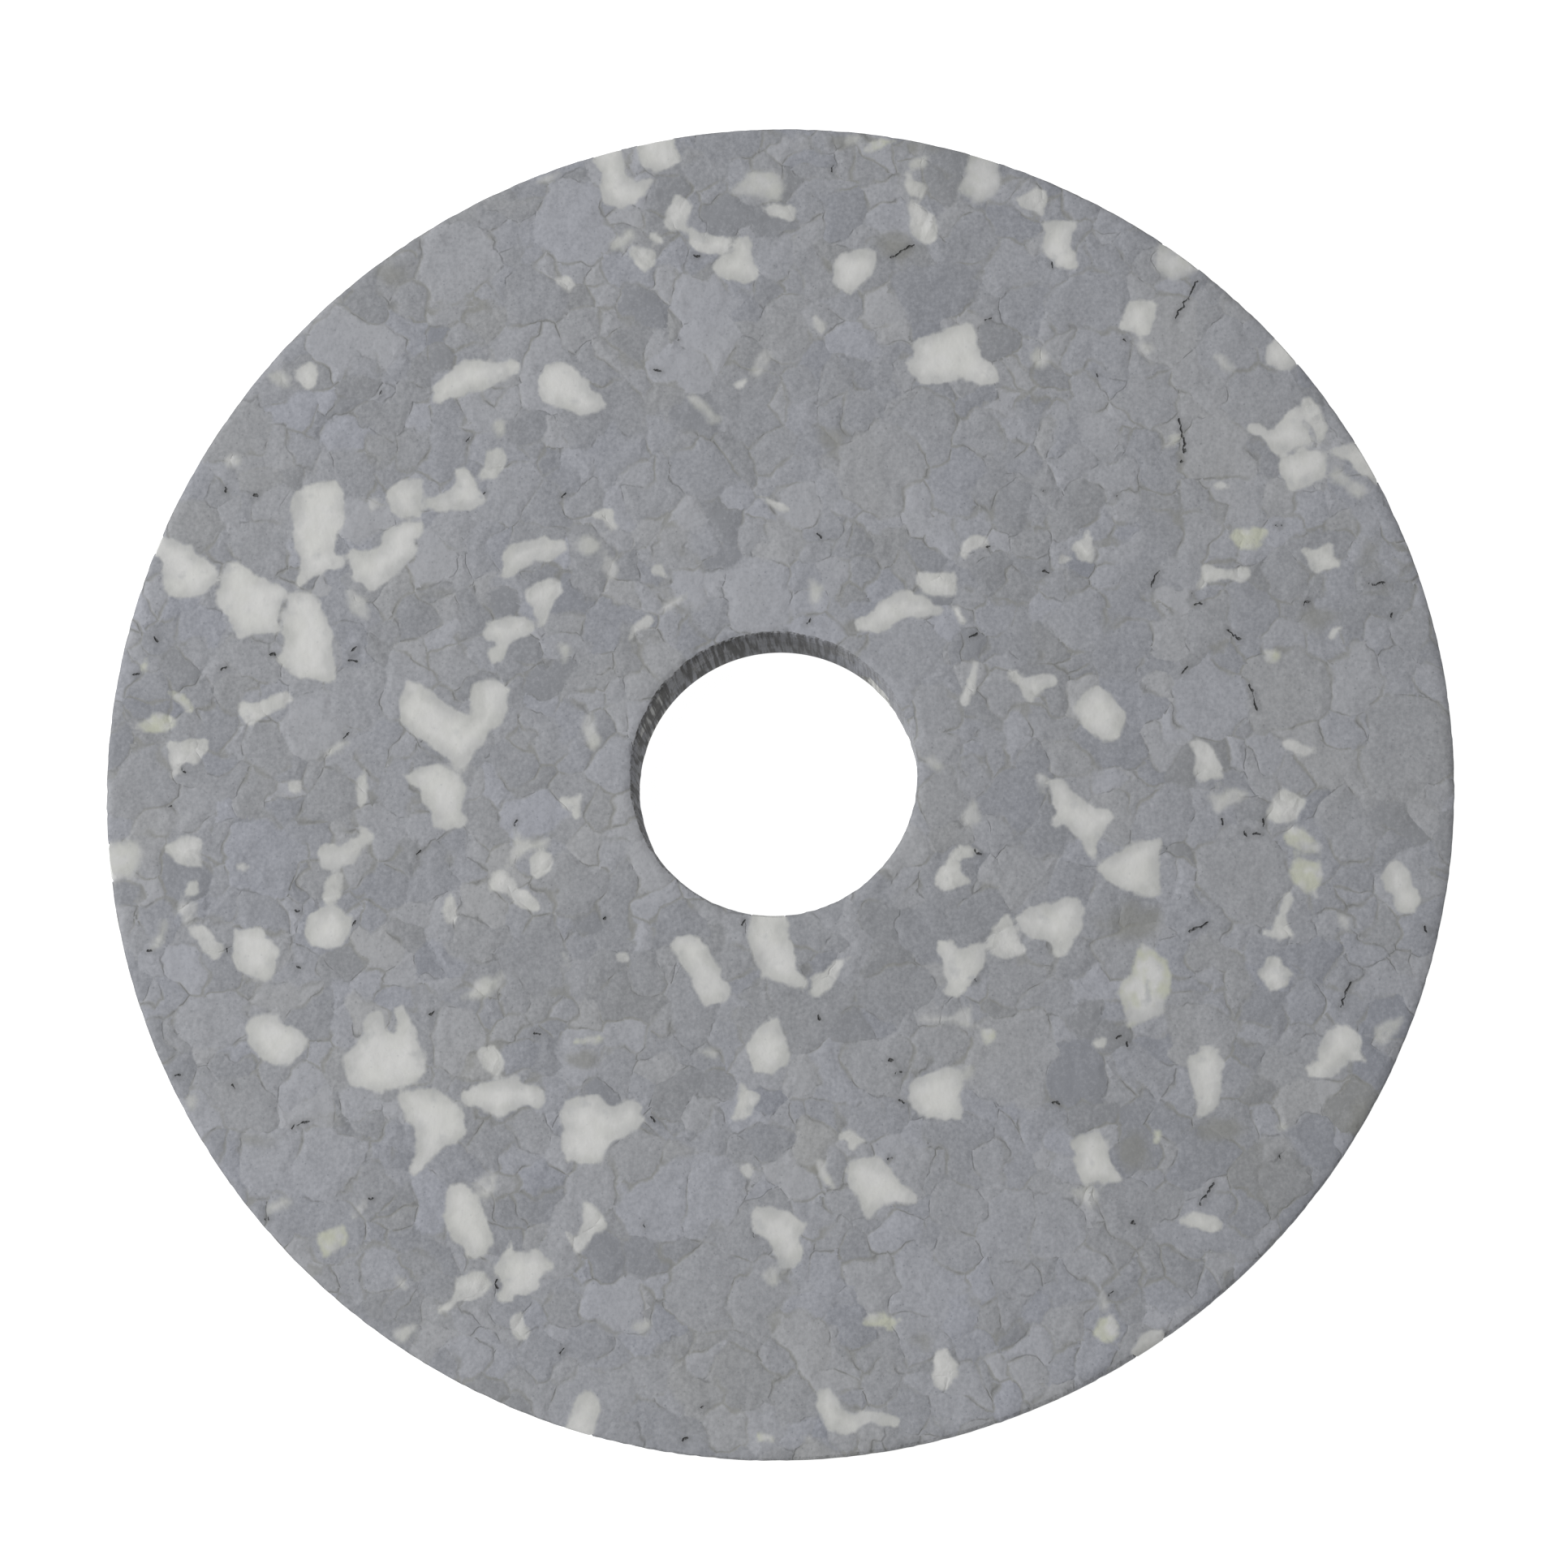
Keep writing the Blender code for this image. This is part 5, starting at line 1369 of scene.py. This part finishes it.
@dataclass
class WhiteCrumb:
    """A separate white crumb that sits in its pocket, flush with the front face."""

    patch: WhitePatch
    front: FrontFace
    seeds: CrumbSeeds
    index: int

    def build(self, finish: bpy.types.Material) -> bpy.types.Object:
        """Make the crumb: its face, its rounded underside and, at a wall, its cut side."""
        net, front = self.front.net, self.front
        faces = net.tris[front.owner == self.index]
        used, local = np.unique(faces, return_inverse=True)
        local = local.reshape(-1, 3)
        inside, height = front.inside[used], front.height[used]
        face = np.column_stack([net.verts[used], height])
        drop = pocket_profile(inside, self.patch.depth) * 0.94
        under = face - np.column_stack([np.zeros((len(used), 2)), drop])
        free = inside > 0
        below = np.where(free, len(used) + np.cumsum(free) - 1, np.arange(len(used)))
        verts = np.concatenate([face, under[free]])
        polygons = local.tolist() + below[local[:, ::-1]].tolist()
        verts, side = self.cut_side(verts, local, below, inside, drop)
        number = self.patch.node.rsplit("_", 1)[-1]
        item = make_mesh(f"white_foam_{number}", verts, polygons + side, finish)
        known = np.column_stack([front.white[used], front.crack[used]])
        rest = np.ones((len(verts) - len(face) - free.sum(), 2))
        self.dress(item, verts, np.concatenate([known, known[free], rest]))
        return item

    def cut_side(self, verts: np.ndarray, local: np.ndarray, below: np.ndarray, inside: np.ndarray,
                 drop: np.ndarray) -> tuple[np.ndarray, list[list[int]]]:
        """Close the crumb where the rim or the bore cuts it.

        Args:
            verts: The crumb's vertices so far.
            local: The triangles of its face.
            below: The underside's vertex for each vertex of the face.
            inside: How far inside the outline each vertex of the face is.
            drop: How far the underside is below the face.

        Returns:
            The vertices with a bulging middle row added, and the side's faces.
        """
        edges = np.concatenate([local[:, [0, 1]], local[:, [1, 2]], local[:, [2, 0]]])
        present = {tuple(edge) for edge in edges.tolist()}
        rims = [edge for edge in present if edge[::-1] not in present and max(inside[list(edge)]) > 0]
        middle: dict[int, int] = {}
        added: list[np.ndarray] = []
        sizes = self.front.sizes
        for vertex in sorted({each for edge in rims for each in edge}):
            if inside[vertex] <= 0:
                middle[vertex] = vertex
                continue
            x, y, z = verts[vertex]
            reach = math.hypot(x, y)
            wall = sizes.radius if reach > 40.0 else sizes.bore
            bulge = min(1.0, drop[vertex] / 0.6)
            scale = (reach + (wall - reach) * bulge * 0.9) / reach
            middle[vertex] = len(verts) + len(added)
            added.append(np.array((x * scale, y * scale, z - min(0.35, drop[vertex] / 2))))
        side = []
        for u, v in rims:
            for ring in ((u, middle[u], middle[v], v), (middle[u], below[u], below[v], middle[v])):
                distinct = list(dict.fromkeys(int(each) for each in ring))
                if len(distinct) > 2:
                    side.append(distinct)
        return (np.concatenate([verts, np.array(added)]) if added else verts), side

    def dress(self, item: bpy.types.Object, verts: np.ndarray, known: np.ndarray) -> None:
        """Store what the finish reads, with the tone of the grey foam around the crumb."""
        softness, strength, warmth = EDGE_LOOK[self.patch.edge]
        edge = np.column_stack([known[:, 0], np.full(len(known), softness), known[:, 1]])
        store(item, "edge", "POINT", edge)
        ahead = np.nonzero(self.seeds.in_front)[0]
        flat = self.seeds.warped(verts) * (1, 1, 0) + (0, 0, self.front.sizes.thickness)
        tone = self.seeds.look[ahead[self.seeds.powers(flat, ahead).argmin(1)], 0]
        rest = np.tile((strength, warmth), (len(known), 1))
        store(item, "look", "POINT", np.column_stack([tone, rest]))


@dataclass(frozen=True)
class FloorFinish:
    """A plain white floor that is bright enough to read as paper."""

    colour: Colour = (0.24, 0.24, 0.24)
    glow: float = 0.95

    def material(self) -> bpy.types.Material:
        """Return the floor's finish."""
        graph = Graph("floor_paper")
        fibres = graph.cloud(graph.place(), 60.0, 3.0)
        base = graph.mix(fibres, self.colour, (0.26, 0.26, 0.26))
        inputs = {"Base Color": base, "Roughness": 1.0, "Specular IOR Level": 0.0,
                  "Emission Color": (1.0, 1.0, 1.0, 1.0), "Emission Strength": self.glow}
        shader = graph.output(graph.node("ShaderNodeBsdfPrincipled", {}, inputs))
        graph.node("ShaderNodeOutputMaterial", {}, {"Surface": shader})
        return graph.material


@dataclass
class Studio:
    """Camera, lights and floor."""

    eye: tuple[float, float, float] = (20.04, -62.58, 385.25)
    right: tuple[float, float, float] = (0.99876, 0.00808, -0.04922)
    up: tuple[float, float, float] = (0.0, 0.98678, 0.16208)
    lens: float = 78.44
    sky: float = 0.352
    key_power: float = 0.64
    key_turn: float = 172.0
    key_height: float = 36.0
    key_size: float = 0.65

    def build(self) -> None:
        """Place everything."""
        self.add_camera()
        self.add_lights()
        self.add_floor()

    def add_camera(self) -> None:
        """Place the camera above the wheel, a little towards the viewer and to the right."""
        data = bpy.data.cameras.new("camera")
        data.lens = self.lens
        data.sensor_width = 36.0
        camera = bpy.data.objects.new("camera", data)
        right, up = Vector(self.right).normalized(), Vector(self.up)
        back = right.cross(up).normalized()
        up = back.cross(right)
        turn = Matrix((right, up, back)).transposed()
        camera.matrix_world = Matrix.Translation(Vector(self.eye) * MM) @ turn.to_4x4()
        bpy.context.scene.collection.objects.link(camera)
        bpy.context.scene.camera = camera

    def add_lights(self) -> None:
        """Add an even pale sky, and one large soft light low on the left."""
        world = bpy.data.worlds.new("studio_sky")
        world.use_nodes = True
        background = world.node_tree.nodes["Background"]
        background.inputs["Color"].default_value = (1.0, 1.0, 1.0, 1.0)
        background.inputs["Strength"].default_value = self.sky
        bpy.context.scene.world = world
        turn, height, away = math.radians(self.key_turn), math.radians(self.key_height), 1.7
        level = math.cos(height)
        towards = Vector((math.cos(turn) * level, math.sin(turn) * level, math.sin(height)))
        data = bpy.data.lights.new("key", "AREA")
        data.shape = "DISK"
        data.size = self.key_size
        data.energy = self.key_power * math.pi * math.pi * away * away / math.sin(height)
        light = bpy.data.objects.new("key", data)
        light.location = towards * away
        light.rotation_euler = towards.to_track_quat("Z", "Y").to_euler()
        bpy.context.scene.collection.objects.link(light)

    def add_floor(self) -> None:
        """Lay the floor just under the wheel."""
        bpy.ops.mesh.primitive_grid_add(x_subdivisions=8, y_subdivisions=8, size=4.0,
                                        location=(0, 0, -0.0002))
        floor = bpy.context.object
        floor.name = "floor"
        floor.data.materials.append(FloorFinish().material())


def place(piece: bpy.types.Object, node: str, slot: str, fill: float) -> None:
    """Let a foam piece stand for its CAD node and ride on the wheel."""
    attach(piece, "root")
    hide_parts(node)


def main() -> None:
    """Build the wheel and its studio."""
    logging.basicConfig(level=logging.INFO, format="%(name)s: %(message)s")
    bpy.context.scene.view_settings.view_transform = "Standard"
    noise.seed_set(SEED)
    sizes = WheelSizes.from_frame()
    rng = np.random.default_rng(SEED)
    front = FrontFace(sizes, rng)
    log.info("front face: %d vertices, %d triangles", len(front.net.verts), len(front.net.tris))
    seeds = CrumbSeeds(sizes, rng)
    body = WheelBody(sizes, front, seeds).build()
    place(body, "crumb_body", "grey_crumb", 1.0)
    log.info("%s: %d faces", body.name, len(body.data.polygons))
    finish = WhiteFoam().material()
    for index, patch in enumerate(front.patches):
        if patch.is_piece:
            crumb = WhiteCrumb(patch, front, seeds, index).build(finish)
            place(crumb, patch.node, "white_crumb", 1.0)
            log.info("%s: %d faces", crumb.name, len(crumb.data.polygons))
    Studio().build()


if __name__ == "__main__":
    main()
